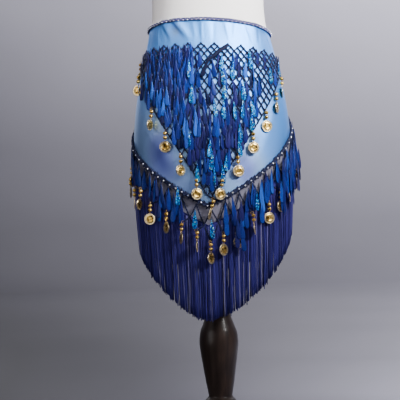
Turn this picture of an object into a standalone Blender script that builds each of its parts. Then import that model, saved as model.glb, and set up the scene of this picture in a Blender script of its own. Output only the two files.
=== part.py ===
"""A belly dance hip scarf, tied round a limbless dress form that stands on a turned wooden stand.

Metres, +Z up. The origin is the centre of the base's underside and the form's front faces -Y. A place
on the scarf is given as (girth, height): girth is the length round the hips from the middle of the
front, positive towards +X, and a layer is how far the place stands out from the form's surface.
"""

import math
from bisect import bisect_right
from collections import namedtuple

import bpy

SEAM = 0.0003               # clearance between two pieces that touch

# The form's level sections: half width, depth in front of the middle and depth behind it
FormSection = namedtuple("FormSection", "height half_width front back")
FORM_SECTIONS = [FormSection(*row) for row in (
    (0.456, 0.1270, 0.0890, 0.0930),
    (0.490, 0.1415, 0.0990, 0.1060),
    (0.560, 0.1500, 0.1050, 0.1150),
    (0.640, 0.1537, 0.1080, 0.1195),
    (0.700, 0.1543, 0.1082, 0.1200),
    (0.740, 0.1512, 0.1063, 0.1155),
    (0.784, 0.1450, 0.1030, 0.1085),
    (0.848, 0.1320, 0.0970, 0.0980),
    (0.875, 0.1255, 0.0940, 0.0925),
    (0.900, 0.1200, 0.0910, 0.0880),
    (0.930, 0.1157, 0.0885, 0.0838),
    (0.965, 0.1127, 0.0868, 0.0805),
    (1.000, 0.1120, 0.0866, 0.0790),
    (1.050, 0.1175, 0.0910, 0.0815),
    (1.110, 0.1290, 0.1020, 0.0880),
    (1.180, 0.1400, 0.1170, 0.0940),
    (1.250, 0.1460, 0.1120, 0.0965),
    (1.320, 0.1500, 0.0940, 0.0940),
    (1.366, 0.1450, 0.0790, 0.0865),
    (1.398, 0.1150, 0.0660, 0.0745),
    (1.422, 0.0780, 0.0560, 0.0615),
    (1.448, 0.0575, 0.0520, 0.0540),
    (1.478, 0.0530, 0.0500, 0.0500),
)]
FORM_SIDES = 56
HIP_HEIGHT = 0.690          # below this what hangs falls free of the form, drawing in a little
HANG_IN = 0.020
GIRTH_HEIGHT = 0.700        # girths are measured round the form at this height

# The stand
BASE_SIDES = 40
COLUMN_SIDES = 20
Turning = namedtuple("Turning", "height radius")
BASE_PROFILE = [Turning(*row) for row in (
    (0.0280, 0.168), (0.0224, 0.188), (0.0140, 0.197), (0.0100, 0.200), (0.0022, 0.200), (0.0, 0.1978),
)]
COLUMN_PROFILE = [Turning(*row) for row in (
    (0.4557, 0.048), (0.446, 0.050), (0.442, 0.024), (0.410, 0.021), (0.396, 0.033),
    (0.378, 0.034), (0.364, 0.0275), (0.350, 0.0250), (0.334, 0.0300), (0.318, 0.0360), (0.297, 0.0388),
    (0.276, 0.0372), (0.243, 0.0325), (0.214, 0.0280), (0.1875, 0.0242), (0.180, 0.0310),
    (0.166, 0.0310), (0.158, 0.0215), (0.120, 0.0235), (0.070, 0.0340), (0.0283, 0.0480),
)]
CAP_SIDES = 20
CAP_PROFILE = [Turning(*row) for row in (
    (1.5000, 0.018), (1.4975, 0.030), (1.4900, 0.047), (1.4850, 0.0545), (1.4783, 0.0545),
)]

# The scarf's cloth, a triangle with its longest edge round the waist and its point in front
WALL = 0.0012
CLOTH_LAYER = 0.0010        # the cloth's inner face
CLOTH_ROWS = 8
TOP_LEVEL = 0.914           # the top edge's mean height, its rise in front and its dip on the right
TOP_RISE = 0.015
TOP_DIP = 0.0075
POINT_GIRTH = -0.014        # the scarf's point
POINT_HEIGHT = 0.5686
HemRise = namedtuple("HemRise", "girth left right")
HEM_RISES = [HemRise(*row) for row in (      # how far the hem has risen, by girth from the point
    (0.00, 0.0000, 0.0000),
    (0.05, 0.0286, 0.0243),
    (0.10, 0.0615, 0.0550),
    (0.15, 0.0986, 0.0920),
    (0.19, 0.1310, 0.1270),
    (0.25, 0.1780, 0.1750),
    (0.32, 0.2220, 0.2200),
    (0.40, 0.2620, 0.2620),
    (0.44, 0.2780, 0.2780),
)]
FOLD_DEPTH = 0.058          # folds run down from the top edge and die out over this length
Fold = namedtuple("Fold", "girth half_width rise slant")
FOLDS = [Fold(*row) for row in (
    (-0.300, 0.017, 0.0030, -0.25),
    (-0.215, 0.016, 0.0035, 0.20),
    (-0.122, 0.013, 0.0045, 0.55),
    (-0.088, 0.014, 0.0050, 0.90),
    (-0.010, 0.016, 0.0022, 0.10),
    (0.050, 0.017, 0.0020, -0.10),
    (0.122, 0.018, 0.0026, 0.15),
    (0.210, 0.016, 0.0010, -0.30),
    (0.305, 0.018, 0.0030, 0.25),
)]

# The knot at the back, where the cloth's two gathered ends meet
KNOT_HEIGHT = 0.866
KNOT_SIZE = (0.036, 0.026, 0.032)
KNOT_LAYER = 0.0148         # the knot's centre
GATHER_LENGTH = 0.100       # the cloth narrows over this length to the knot
GATHER_HALF_HEIGHT = 0.013
LAST_COLUMN_SPACE = 0.004   # the cloth's last column is at least this far from its end
GATHER_WAVES = 2
GATHER_RISE = 0.0016
END_LENGTH = 0.165
END_WIDTH = 0.022
END_SPREAD = 0.013
END_LAYER = 0.0030
EndSection = namedtuple("EndSection", "down breadth stand")
END_SECTIONS = [EndSection(*row) for row in (
    (0.00, 0.30, 0.0095),
    (0.12, 0.62, 0.0060),
    (0.35, 1.00, 0.0015),
    (0.70, 0.86, 0.0010),
    (0.90, 0.52, 0.0012),
    (1.00, 0.14, 0.0015),
)]
END_FOLD = 0.0018
END_WALL = 0.0019

# Braids along the cloth's edges
BRAID_THICKNESS = 0.0025
TOP_BRAID_HEIGHT = 0.0052
HEM_BRAID_HEIGHT = 0.0066
TOP_BRAID_LAYER = CLOTH_LAYER + WALL + 0.0009
HEM_BRAID_LAYER = CLOTH_LAYER + WALL + 0.0009

# The knotted nets
YARN = 0.0030               # a mesh's yarn, across
NET_WALL = 0.0018
NET_LAYER = CLOTH_LAYER + WALL + 0.0013
NET_DROP = 0.048            # from the top edge down to the upper net
NET_DEPTH = 0.300
NET_HALF_GIRTH = 0.235
NET_CENTRE = -0.0045        # the girth of its top row's middle
NET_DRIFT = -0.0045         # how far its rows have moved over by the time they reach the tip
NET_TIP = -0.0015           # the tip's girth
NET_ROWS = 15               # half meshes, top to tip
NET_STRETCH = 1.18          # meshes lower down are drawn out longer
NET_SAG = 0.0065            # how much lower its heaviest rows hang
NET_SAG_ROW = 12
NET_SAG_ROWS = 3.5
NET_NARROWING = 0.75        # how fast the net narrows to its tip
LOOP_PITCH = 0.0275         # the lower net's meshes along the hem
LOOP_CENTRE = -0.008
LOOP_SIDE_COUNT = 13
LoopRow = namedtuple("LoopRow", "fall layer")
LOOP_ROWS = [LoopRow(*row) for row in (
    (0.0088, 0.0036),
    (0.0400, 0.0036),
    (0.0660, 0.0062),
)]
# How the meshes in front hang, from left to right: below the hem, and to the side of their own place
FrontLoop = namedtuple("FrontLoop", "fall shift")
FRONT_LOOPS = [FrontLoop(*row) for row in (
    (0.0500, -0.0040),
    (0.0620, -0.0090),
    (0.0550, -0.0020),
    (0.0575, 0.0000),
    (0.0573, 0.0010),
    (0.0710, -0.0020),
    (0.0670, -0.0050),
    (0.0670, -0.0060),
    (0.0610, -0.0040),
    (0.0640, 0.0020),
    (0.0620, 0.0010),
)]

# A drop: two beads over a coin, hung from the net
DropSection = namedtuple("DropSection", "fall half_width half_depth stand")
DROP_SECTIONS = [DropSection(*row) for row in (
    (0.0000, 0.0009, 0.0009, 0.0012),
    (0.0048, 0.0040, 0.0040, 0.0046),
    (0.0096, 0.0014, 0.0014, 0.0046),
    (0.0144, 0.0040, 0.0040, 0.0046),
    (0.0192, 0.0014, 0.0010, 0.0046),
    (0.0222, 0.0070, 0.0008, 0.0044),
    (0.0265, 0.0112, 0.0008, 0.0042),
    (0.0360, 0.0112, 0.0008, 0.0040),
    (0.0418, 0.0055, 0.0008, 0.0038),
)]
TIP_DROP_STAND = 0.0005     # the drop at the upper net's tip stands this much further, over the hem's braid
UPPER_DROP_ROWS_LEFT = (13, 11, 9, 7, 3, 1)
UPPER_DROP_ROWS_RIGHT = (13, 11, 9, 7, 5, 3, 0)

# The fringe
STRAND_PITCH = 0.0040
STRAND_WIDTH = 0.0025
STRAND_DEPTH = 0.0016
STRAND_TAPER = 0.85
FRINGE_END = 0.390          # the girth where the fringe ends, on each side
STRIP_HEIGHT = 0.0055
STRIP_LAYER = 0.0012
STRIP_DROP = 0.0375         # from the cloth's edge down to the strip, which is sewn to the lower net
STRIP_SPAN = 5              # strands between two points of the strip's top edge
STRIP_INSET = 0.15          # how far inside the outermost strands the strip's top ends, in pitches
FRINGE_LENGTH = 0.1830
FRINGE_SHORTER = 0.020      # how much shorter it is at the sides
FRINGE_LEFT_LONGER = 0.007
FRINGE_FLAT = 0.009         # how much shorter it is cut under the cloth's point
FRINGE_FLAT_WIDTH = 0.024
FRINGE_UNEVEN = 0.0030
STRAND_MIDDLE_STAND = 0.0042
STRAND_TIP_STAND = 0.0006
BENT_FROM_GIRTH = 0.185     # strands beyond this girth lie over the hip, so they bend once

WHITE_JERSEY = (0.80, 0.78, 0.77)
DARK_WOOD = (0.030, 0.016, 0.012)
PALE_BLUE = (0.45, 0.66, 0.86)
NAVY = (0.020, 0.025, 0.10)
GOLD = (0.80, 0.52, 0.16)


def remove_all():
    for thing in list(bpy.data.objects):
        bpy.data.objects.remove(thing)


def material(name, colour, roughness, metallic=0.0):
    made = bpy.data.materials.new(name)
    made.use_nodes = True
    shader = made.node_tree.nodes["Principled BSDF"]
    shader.inputs["Base Color"].default_value = (*colour, 1.0)
    shader.inputs["Roughness"].default_value = roughness
    shader.inputs["Metallic"].default_value = metallic
    return made


def add_object(name, points, faces, finish, collection):
    mesh = bpy.data.meshes.new(name)
    mesh.from_pydata(points, [], faces)
    mesh.shade_smooth()
    mesh.set_sharp_from_angle(angle=math.radians(35))
    thing = bpy.data.objects.new(name, mesh)
    thing.data.materials.append(finish)
    collection.objects.link(thing)
    return thing


# Working out sizes

def value_at(rows, place, column):
    """Reads a named column of a table, whose first column rises, by a smooth curve through its rows."""
    values = [getattr(row, column) for row in rows]
    last = len(rows) - 1
    place = min(max(place, rows[0][0]), rows[last][0])
    low = min(max(bisect_right([row[0] for row in rows], place) - 1, 0), last - 1)
    step = rows[low + 1][0] - rows[low][0]
    along = (place - rows[low][0]) / step

    def slope(index):
        before, after = max(index - 1, 0), min(index + 1, last)
        return (values[after] - values[before]) / (rows[after][0] - rows[before][0])

    square, cube = along ** 2, along ** 3
    return ((2 * cube - 3 * square + 1) * values[low]
            + (cube - 2 * square + along) * step * slope(low)
            + (3 * square - 2 * cube) * values[low + 1]
            + (cube - square) * step * slope(low + 1))


def section_at(height):
    return [value_at(FORM_SECTIONS, height, column) for column in ("half_width", "front", "back")]


def smooth_step(value):
    value = min(max(value, 0.0), 1.0)
    return value * value * (3 - 2 * value)


def girth_table(steps=720):
    """The angle and the girth reached at each of many steps, from the middle of the front round."""
    half_width, front, back = section_at(GIRTH_HEIGHT)
    table = [(0.0, 0.0)]
    for step in range(steps):
        angle = math.pi * (step + 0.5) / steps
        depth = front if math.cos(angle) > 0 else back
        length = math.hypot(half_width * math.cos(angle), depth * math.sin(angle)) * math.pi / steps
        table.append((table[-1][0] + length, math.pi * (step + 1) / steps))
    return table


GIRTHS = girth_table()
HALF_GIRTH = GIRTHS[-1][0]


def angle_at(girth):
    """The angle from the front at which a girth lies, growing on past the back's middle."""
    length = abs(girth)
    past = length > HALF_GIRTH
    if past:
        length = 2 * HALF_GIRTH - length
    high = min(max(bisect_right(GIRTHS, (length, 0.0)), 1), len(GIRTHS) - 1)
    (low_length, low_angle), (high_length, high_angle) = GIRTHS[high - 1], GIRTHS[high]
    angle = low_angle + (high_angle - low_angle) * (length - low_length) / (high_length - low_length)
    if past:
        angle = 2 * math.pi - angle
    return math.copysign(angle, girth)


def on_form(angle, height, layer):
    """A point that stands out from the form's section by a layer."""
    half_width, front, back = section_at(height)
    depth = front if math.cos(angle) > 0 else back
    out = (math.sin(angle) / half_width, -math.cos(angle) / depth)
    length = math.hypot(*out)
    return (half_width * math.sin(angle) + layer * out[0] / length,
            -depth * math.cos(angle) + layer * out[1] / length,
            height)


def hung(girth, height, layer):
    """A point of something worn on the form: over the hips it follows them, and below it falls straight."""
    inward = HANG_IN * max(HIP_HEIGHT - height, 0.0)
    x, y, _ = on_form(angle_at(girth), max(height, HIP_HEIGHT), layer - inward)
    return x, y, height


def girth_beside(aside, height, layer):
    """The girth behind the form at which a layer's point lies this far aside of the middle."""
    near, far = HALF_GIRTH * 0.8, HALF_GIRTH
    for _ in range(40):
        middle = (near + far) / 2
        if hung(middle, height, layer)[0] > aside:
            near = middle
        else:
            far = middle
    return near


CLOTH_END = girth_beside(KNOT_SIZE[0] / 2 - SEAM, KNOT_HEIGHT, KNOT_LAYER)


# The cloth's edges and surface

def to_knot(girth):
    """0 over most of the cloth, rising to 1 where it is gathered into the knot."""
    return smooth_step((abs(girth) - (CLOTH_END - GATHER_LENGTH)) / GATHER_LENGTH)


def top_height(girth):
    angle = angle_at(girth)
    free = TOP_LEVEL + TOP_RISE * math.cos(angle) - TOP_DIP * math.sin(angle)
    near = to_knot(girth)
    return free + (KNOT_HEIGHT + GATHER_HALF_HEIGHT - free) * near


def hem_height(girth):
    from_point = girth - POINT_GIRTH
    side = "right" if from_point > 0 else "left"
    free = POINT_HEIGHT + value_at(HEM_RISES, abs(from_point), side)
    near = to_knot(girth)
    return free + (KNOT_HEIGHT - GATHER_HALF_HEIGHT - free) * near


def cloth_rise(girth, height):
    """How far folds and gathers lift the cloth off its plain layer."""
    top, hem = top_height(girth), hem_height(girth)
    below = max(top - height, 0.0)
    fade = 1 - smooth_step(below / FOLD_DEPTH)
    rise = 0.0
    for fold in FOLDS:
        across = (girth - fold.girth - fold.slant * below) / fold.half_width
        rise += fold.rise * fade * math.exp(-across * across)
    near = to_knot(girth)
    down = min(below / (top - hem), 1.0)
    rise += GATHER_RISE * near * (1 - math.cos(2 * math.pi * GATHER_WAVES * down))
    at_knot = smooth_step((abs(girth) - (CLOTH_END - GATHER_LENGTH / 2)) / (GATHER_LENGTH / 2))
    return rise + (KNOT_LAYER - CLOTH_LAYER - 2 * WALL) * at_knot


def on_cloth(girth, height, layer):
    return hung(girth, height, layer + cloth_rise(girth, height))


def cloth_girths():
    """The form's own columns, as girths, as far as the cloth's two ends."""
    inner = []
    for low, high in zip(GIRTHS, GIRTHS[1:]):
        for column in range(1, FORM_SIDES // 2):
            angle = 2 * math.pi * column / FORM_SIDES
            if low[1] < angle <= high[1] + 1e-9 and high[0] < CLOTH_END - LAST_COLUMN_SPACE:
                inner.append(high[0] + (low[0] - high[0]) * (high[1] - angle) / (high[1] - low[1]))
    side = sorted(inner) + [CLOTH_END]
    return sorted([-girth for girth in side] + [0.0, POINT_GIRTH] + side)


# Ways of making meshes

def grid(rows):
    """Points and four-sided faces of rows of equally many points."""
    count = len(rows[0])
    points = [point for row in rows for point in row]
    faces = []
    for row in range(len(rows) - 1):
        for place in range(count - 1):
            corner = row * count + place
            faces.append((corner, corner + 1, corner + count + 1, corner + count))
    return points, faces


def rings_closed(rings):
    """Points and faces of a solid through closed rings, from its top down, with both ends filled."""
    count = len(rings[0])
    points = [point for ring in rings for point in ring]
    faces = [tuple(range(count))]
    for ring in range(len(rings) - 1):
        for place in range(count):
            following = (place + 1) % count
            upper, lower = ring * count, (ring + 1) * count
            faces.append((upper + place, lower + place, lower + following, upper + following))
    faces.append(tuple(reversed(range(len(points) - count, len(points)))))
    return points, faces


def add_wall(name, points, faces, thickness, finish, collection):
    """An open surface given a thickness on its outer side."""
    thing = add_object(name, points, faces, finish, collection)
    wall = thing.modifiers.new("wall", "SOLIDIFY")
    wall.thickness = thickness
    wall.offset = 1.0
    return thing


def add_turned(name, profile, sides, finish, collection):
    """A solid turned from (height, radius) rows, given from the top down."""
    outline = [(0.0, 0.0, profile[0][0])]
    outline += [(radius, 0.0, height) for height, radius in profile]
    outline.append((0.0, 0.0, profile[-1][0]))
    mesh = bpy.data.meshes.new(name)
    mesh.from_pydata(outline, [(place, place + 1) for place in range(len(outline) - 1)], [])
    thing = bpy.data.objects.new(name, mesh)
    thing.data.materials.append(finish)
    collection.objects.link(thing)
    turning = thing.modifiers.new("turning", "SCREW")
    turning.axis = "Z"
    turning.angle = 2 * math.pi
    turning.steps = sides
    turning.render_steps = sides
    turning.use_merge_vertices = True
    turning.merge_threshold = 0.00001
    turning.use_smooth_shade = False
    return thing


# The pieces

def make_stand(wood, collection):
    add_turned("stand_base", BASE_PROFILE, BASE_SIDES, wood, collection)
    add_turned("stand_column", COLUMN_PROFILE, COLUMN_SIDES, wood, collection)
    add_turned("neck_cap", CAP_PROFILE, CAP_SIDES, wood, collection)


def make_form(jersey, collection):
    rings = []
    for row in reversed(FORM_SECTIONS):
        rings.append([on_form(2 * math.pi * side / FORM_SIDES, row.height, 0.0) for side in range(FORM_SIDES)])
    add_object("form_torso", *rings_closed(rings), jersey, collection)


def make_cloth(satin, collection):
    rows = []
    for row in range(CLOTH_ROWS + 1):
        down = (row / CLOTH_ROWS) ** 1.25
        line = []
        for girth in cloth_girths():
            top, hem = top_height(girth), hem_height(girth)
            line.append(on_cloth(girth, top + (hem - top) * down, CLOTH_LAYER))
        rows.append(line)
    points, faces = grid(rows)
    faces = [tuple(reversed(face)) for face in faces]
    add_wall("scarf_cloth", points, faces, WALL, satin, collection)


def make_braid(name, edge, above, below, layer, finish, collection):
    """A flat braid laid over an edge of the cloth."""
    outer = layer + BRAID_THICKNESS
    rings = []
    for girth in cloth_girths():
        height = edge(girth)
        corners = ((above, layer), (-below, layer), (-below, outer), (above, outer))
        rings.append([on_cloth(girth, height + rise, out) for rise, out in corners])
    add_object(name, *rings_closed(rings), finish, collection)


def make_knot(satin, collection):
    bpy.ops.mesh.primitive_uv_sphere_add(segments=12, ring_count=8, radius=0.5)
    knot = bpy.context.object
    knot.name = "tie_knot"
    for point in knot.data.vertices:
        point.co = [value * size for value, size in zip(point.co, KNOT_SIZE)]
    back_x, back_y, _ = hung(HALF_GIRTH, KNOT_HEIGHT, KNOT_LAYER)
    knot.location = (back_x, back_y, KNOT_HEIGHT)
    for owner in list(knot.users_collection):
        owner.objects.unlink(knot)
    collection.objects.link(knot)
    knot.data.materials.append(satin)


def make_tie_end(name, side, satin, collection):
    """One of the scarf's two tips, hanging out of the knot."""
    top = KNOT_HEIGHT - KNOT_SIZE[2] / 2 - SEAM
    rows = []
    for section in END_SECTIONS:
        middle = HALF_GIRTH - side * END_SPREAD * smooth_step(section.down * 3 + 0.35)
        height = top - END_LENGTH * section.down
        half = END_WIDTH * section.breadth / 2
        row = []
        for across in (-1, 0, 1):
            fold = END_FOLD * (1 - abs(across)) * section.breadth
            row.append(hung(middle + across * half, height, END_LAYER + section.stand + fold))
        rows.append(row)
    points, faces = grid(rows)
    faces = [tuple(reversed(face)) for face in faces]
    add_wall(name, points, faces, END_WALL, satin, collection)


class Net:
    """Yarn crossings, each a small four-cornered knot, and the yarn between them."""

    def __init__(self, place):
        self.place = place
        self.points = []
        self.faces = []
        self.knots = {}

    def add_knot(self, key, girth, height, layer, half_width, half_height):
        first = len(self.points)
        for across, up in ((0, 1), (1, 0), (0, -1), (-1, 0)):
            self.points.append(self.place(girth + across * half_width, height + up * half_height, layer))
        self.knots[key] = (first, first + 1, first + 2, first + 3)
        self.faces.append((first, first + 3, first + 2, first + 1))

    def add_yarn(self, upper, lower, side):
        """Yarn from an upper knot down to a lower one, which lies to its right (1) or left (-1)."""
        up, down = self.knots[upper], self.knots[lower]
        if side > 0:
            self.faces.append((up[1], up[2], down[3], down[0]))
        else:
            self.faces.append((up[2], up[3], down[0], down[1]))


def knot_halves(half_pitch, fall):
    """Half the width and half the height of the crossing of two yarns that run across a mesh."""
    length = math.hypot(half_pitch, fall)
    return YARN / 2 * length / fall, YARN / 2 * length / half_pitch


def net_depth(row):
    sag = NET_SAG * math.exp(-((row - NET_SAG_ROW) / NET_SAG_ROWS) ** 2) if 0 < row < NET_ROWS else 0.0
    return NET_DEPTH * (row / NET_ROWS) ** NET_STRETCH + sag


def net_half_girth(row):
    return NET_HALF_GIRTH * (1 - (net_depth(row) / NET_DEPTH) ** NET_NARROWING)


def net_place(row, column):
    """The girth and height of a knot of the upper net, rows counted down from its top."""
    half = net_half_girth(row)
    meshes = NET_ROWS - row
    middle = NET_CENTRE + NET_DRIFT * row / NET_ROWS
    girth = NET_TIP if meshes == 0 else middle - half + 2 * half * column / meshes
    return girth, top_height(girth) - NET_DROP - net_depth(row)


def make_upper_net(yarn, collection):
    net = Net(on_cloth)
    for row in range(NET_ROWS + 1):
        upper = min(row, NET_ROWS - 1)
        half_pitch = net_half_girth(upper) / (NET_ROWS - upper)
        fall = net_depth(upper + 1) - net_depth(upper)
        half_width, half_height = knot_halves(half_pitch, fall)
        for column in range(NET_ROWS - row + 1):
            girth, height = net_place(row, column)
            net.add_knot((row, column), girth, height, NET_LAYER, half_width, half_height)
    for row in range(NET_ROWS):
        for column in range(NET_ROWS - row + 1):
            if column > 0:
                net.add_yarn((row, column), (row + 1, column - 1), -1)
            if column < NET_ROWS - row:
                net.add_yarn((row, column), (row + 1, column), 1)
    add_wall("upper_net", net.points, net.faces, NET_WALL, yarn, collection)


def loop_place(row, place):
    """The girth and height of a knot of the lower net, places counted in half meshes."""
    girth = LOOP_CENTRE + LOOP_PITCH * place / 2
    fall = LOOP_ROWS[row].fall
    in_front = place // 2 + len(FRONT_LOOPS) // 2
    if row == 2 and 0 <= in_front < len(FRONT_LOOPS):
        fall = FRONT_LOOPS[in_front].fall
        girth += FRONT_LOOPS[in_front].shift
    return girth, hem_height(girth) - fall


def make_lower_net(yarn, collection):
    net = Net(hung)
    sizes = knot_halves(LOOP_PITCH / 2, LOOP_ROWS[1].fall - LOOP_ROWS[0].fall)
    reach = 2 * LOOP_SIDE_COUNT
    for place in range(-reach - 1, reach + 2):
        rows = (1,) if place % 2 else (0, 2)
        for row in rows:
            girth, height = loop_place(row, place)
            net.add_knot((row, place), girth, height, LOOP_ROWS[row].layer, *sizes)
    for place in range(-reach, reach + 1, 2):
        for side in (-1, 1):
            net.add_yarn((0, place), (1, place + side), side)
            net.add_yarn((1, place + side), (2, place), -side)
    add_wall("lower_net", net.points, net.faces, NET_WALL, yarn, collection)


def make_drop(name, girth, height, layer, gold, collection):
    """Two beads and a coin in one piece, hanging in front of a knot of the net."""
    rings = []
    for section in DROP_SECTIONS:
        ring = []
        for across, out in ((-1, -1), (-1, 1), (1, 1), (1, -1)):
            place = girth + across * section.half_width
            stand = section.stand + out * section.half_depth
            ring.append(hung(place, height - section.fall, layer + stand))
        rings.append(ring)
    add_object(name, *rings_closed(rings), gold, collection)


def make_drops(gold, collection):
    hangs = [(NET_ROWS, 0, TIP_DROP_STAND)]
    hangs += [(row, 0, 0.0) for row in UPPER_DROP_ROWS_LEFT]
    hangs += [(row, NET_ROWS - row, 0.0) for row in UPPER_DROP_ROWS_RIGHT]
    for count, (row, column, stand) in enumerate(hangs, 1):
        girth, height = net_place(row, column)
        layer = NET_LAYER + NET_WALL + cloth_rise(girth, height) + stand
        make_drop(f"coin_upper_{count:02d}", girth, height, layer, gold, collection)
    for count, place in enumerate(range(-LOOP_SIDE_COUNT, LOOP_SIDE_COUNT + 1), 1):
        girth, height = loop_place(2, 2 * place)
        layer = LOOP_ROWS[2].layer + NET_WALL
        make_drop(f"coin_lower_{count:02d}", girth, height, layer, gold, collection)


def strand_length(girth):
    shorter = FRINGE_SHORTER * min(abs(girth) / 0.15, 1.0) ** 2
    shorter += FRINGE_FLAT * math.exp(-((girth - POINT_GIRTH) / FRINGE_FLAT_WIDTH) ** 2)
    longer = FRINGE_LEFT_LONGER * smooth_step((0.01 - girth) / 0.05)
    return FRINGE_LENGTH - shorter + longer + FRINGE_UNEVEN * math.sin(2900 * girth)


def make_fringe(yarn, collection):
    """Three-sided strands that hang from one narrow strip, behind the middle of the lower net."""
    span_girth = STRIP_SPAN * STRAND_PITCH
    spans_left = int((FRINGE_END + POINT_GIRTH) / span_girth)
    spans_right = int((FRINGE_END - POINT_GIRTH) / span_girth)
    count = (spans_left + spans_right) * STRIP_SPAN
    start = POINT_GIRTH - spans_left * span_girth
    points, faces = [], []

    def add(point):
        points.append(point)
        return len(points) - 1

    def strand_ring(girth, height, stand, scale):
        half = STRAND_WIDTH / 2 * scale
        back = STRIP_LAYER + stand
        front = back + STRAND_DEPTH * scale
        return [add(hung(girth - half, height, front)), add(hung(girth + half, height, front)),
                add(hung(girth, height, back))]

    roots = []
    for strand in range(count):
        girth = start + (strand + 0.5) * STRAND_PITCH
        root_height = hem_height(girth) - STRIP_DROP - STRIP_HEIGHT
        length = strand_length(girth)
        levels = [(0.0, 0.0, 1.0)]
        if abs(girth) > BENT_FROM_GIRTH:
            levels.append((0.5, STRAND_MIDDLE_STAND, 1.0))
        levels.append((1.0, STRAND_TIP_STAND, STRAND_TAPER))
        rings = [strand_ring(girth, root_height - length * down, stand, scale)
                 for down, stand, scale in levels]
        for upper, lower in zip(rings, rings[1:]):
            for side in range(3):
                following = (side + 1) % 3
                faces.append((upper[side], lower[side], lower[following], upper[following]))
        faces.append(tuple(reversed(rings[-1])))
        roots.append(rings[0])
    for left, right in zip(roots, roots[1:]):
        faces.append((left[1], left[2], right[2], right[0]))

    tops = []
    for strand in range(0, count + 1, STRIP_SPAN):
        girth = start + min(max(strand, STRIP_INSET), count - STRIP_INSET) * STRAND_PITCH
        height = hem_height(girth) - STRIP_DROP
        tops.append([add(hung(girth, height, layer)) for layer in (STRIP_LAYER + STRAND_DEPTH, STRIP_LAYER)])
    for span, (left, right) in enumerate(zip(tops, tops[1:])):
        first, past = span * STRIP_SPAN, (span + 1) * STRIP_SPAN
        front = [corner for root in roots[first:past] for corner in root[:2]]
        back = [root[2] for root in roots[first:past]]
        if past < count:
            front.append(roots[past][0])
            back.append(roots[past][2])
        faces.append((left[0], *front, right[0]))
        faces.append((right[1], *reversed(back), left[1]))
        faces.append((left[1], left[0], right[0], right[1]))
    first, last = tops[0], tops[-1]
    faces.append((first[0], first[1], roots[0][2], roots[0][0]))
    faces.append((last[1], last[0], roots[-1][1], roots[-1][2]))
    add_object("fringe", points, faces, yarn, collection)


def main():
    remove_all()
    collection = bpy.data.collections.new("hip_scarf_on_form")
    bpy.context.scene.collection.children.link(collection)
    jersey = material("white_jersey", WHITE_JERSEY, 0.85)
    wood = material("dark_wood", DARK_WOOD, 0.30)
    satin = material("pale_blue_satin", PALE_BLUE, 0.38)
    yarn = material("navy_yarn", NAVY, 0.75)
    fringe_yarn = material("fringe_yarn", NAVY, 0.60)
    gold = material("gold_metal", GOLD, 0.30, 1.0)
    make_stand(wood, collection)
    make_form(jersey, collection)
    make_cloth(satin, collection)
    make_braid("top_braid", top_height, TOP_BRAID_HEIGHT * 0.3, TOP_BRAID_HEIGHT * 0.7, TOP_BRAID_LAYER,
               yarn, collection)
    make_braid("hem_braid", hem_height, HEM_BRAID_HEIGHT / 2, HEM_BRAID_HEIGHT / 2, HEM_BRAID_LAYER,
               yarn, collection)
    make_knot(satin, collection)
    make_tie_end("tie_end_left", -1, satin, collection)
    make_tie_end("tie_end_right", 1, satin, collection)
    make_upper_net(yarn, collection)
    make_lower_net(yarn, collection)
    make_drops(gold, collection)
    make_fringe(fringe_yarn, collection)


main()
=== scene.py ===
"""The looks of a belly dance hip scarf, worn by a limbless dress form on a turned wooden stand.

Metres, +Z up, and the front faces -Y. A place on the scarf is given by its girth, the length round the
hips from the middle of the front, positive towards +X, and its height. A layer is how far a place stands
off the form. Lengths, girths and heights may be arrays, so that whole pieces are worked out at once.
"""

import math

import bpy
import numpy as np
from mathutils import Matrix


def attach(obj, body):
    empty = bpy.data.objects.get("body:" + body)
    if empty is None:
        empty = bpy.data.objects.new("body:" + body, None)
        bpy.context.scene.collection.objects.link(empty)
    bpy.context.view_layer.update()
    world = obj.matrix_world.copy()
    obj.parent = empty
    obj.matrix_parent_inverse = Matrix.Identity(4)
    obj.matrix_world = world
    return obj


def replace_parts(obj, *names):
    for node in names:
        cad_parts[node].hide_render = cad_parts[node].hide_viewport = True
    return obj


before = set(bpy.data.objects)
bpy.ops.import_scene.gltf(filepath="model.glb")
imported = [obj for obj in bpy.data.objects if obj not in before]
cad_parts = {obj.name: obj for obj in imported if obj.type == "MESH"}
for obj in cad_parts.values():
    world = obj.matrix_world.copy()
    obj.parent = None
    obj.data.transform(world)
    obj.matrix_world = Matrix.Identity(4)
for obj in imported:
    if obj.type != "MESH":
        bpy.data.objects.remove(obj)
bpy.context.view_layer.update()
chance = np.random.default_rng(11)

SENSOR = 36.0               # the camera's sensor and lens, in millimetres
LENS = 108.0
CAMERA_PLACE = (-0.0284, -2.4, 0.58)
CAMERA_ROLL = math.radians(1.9)

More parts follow.
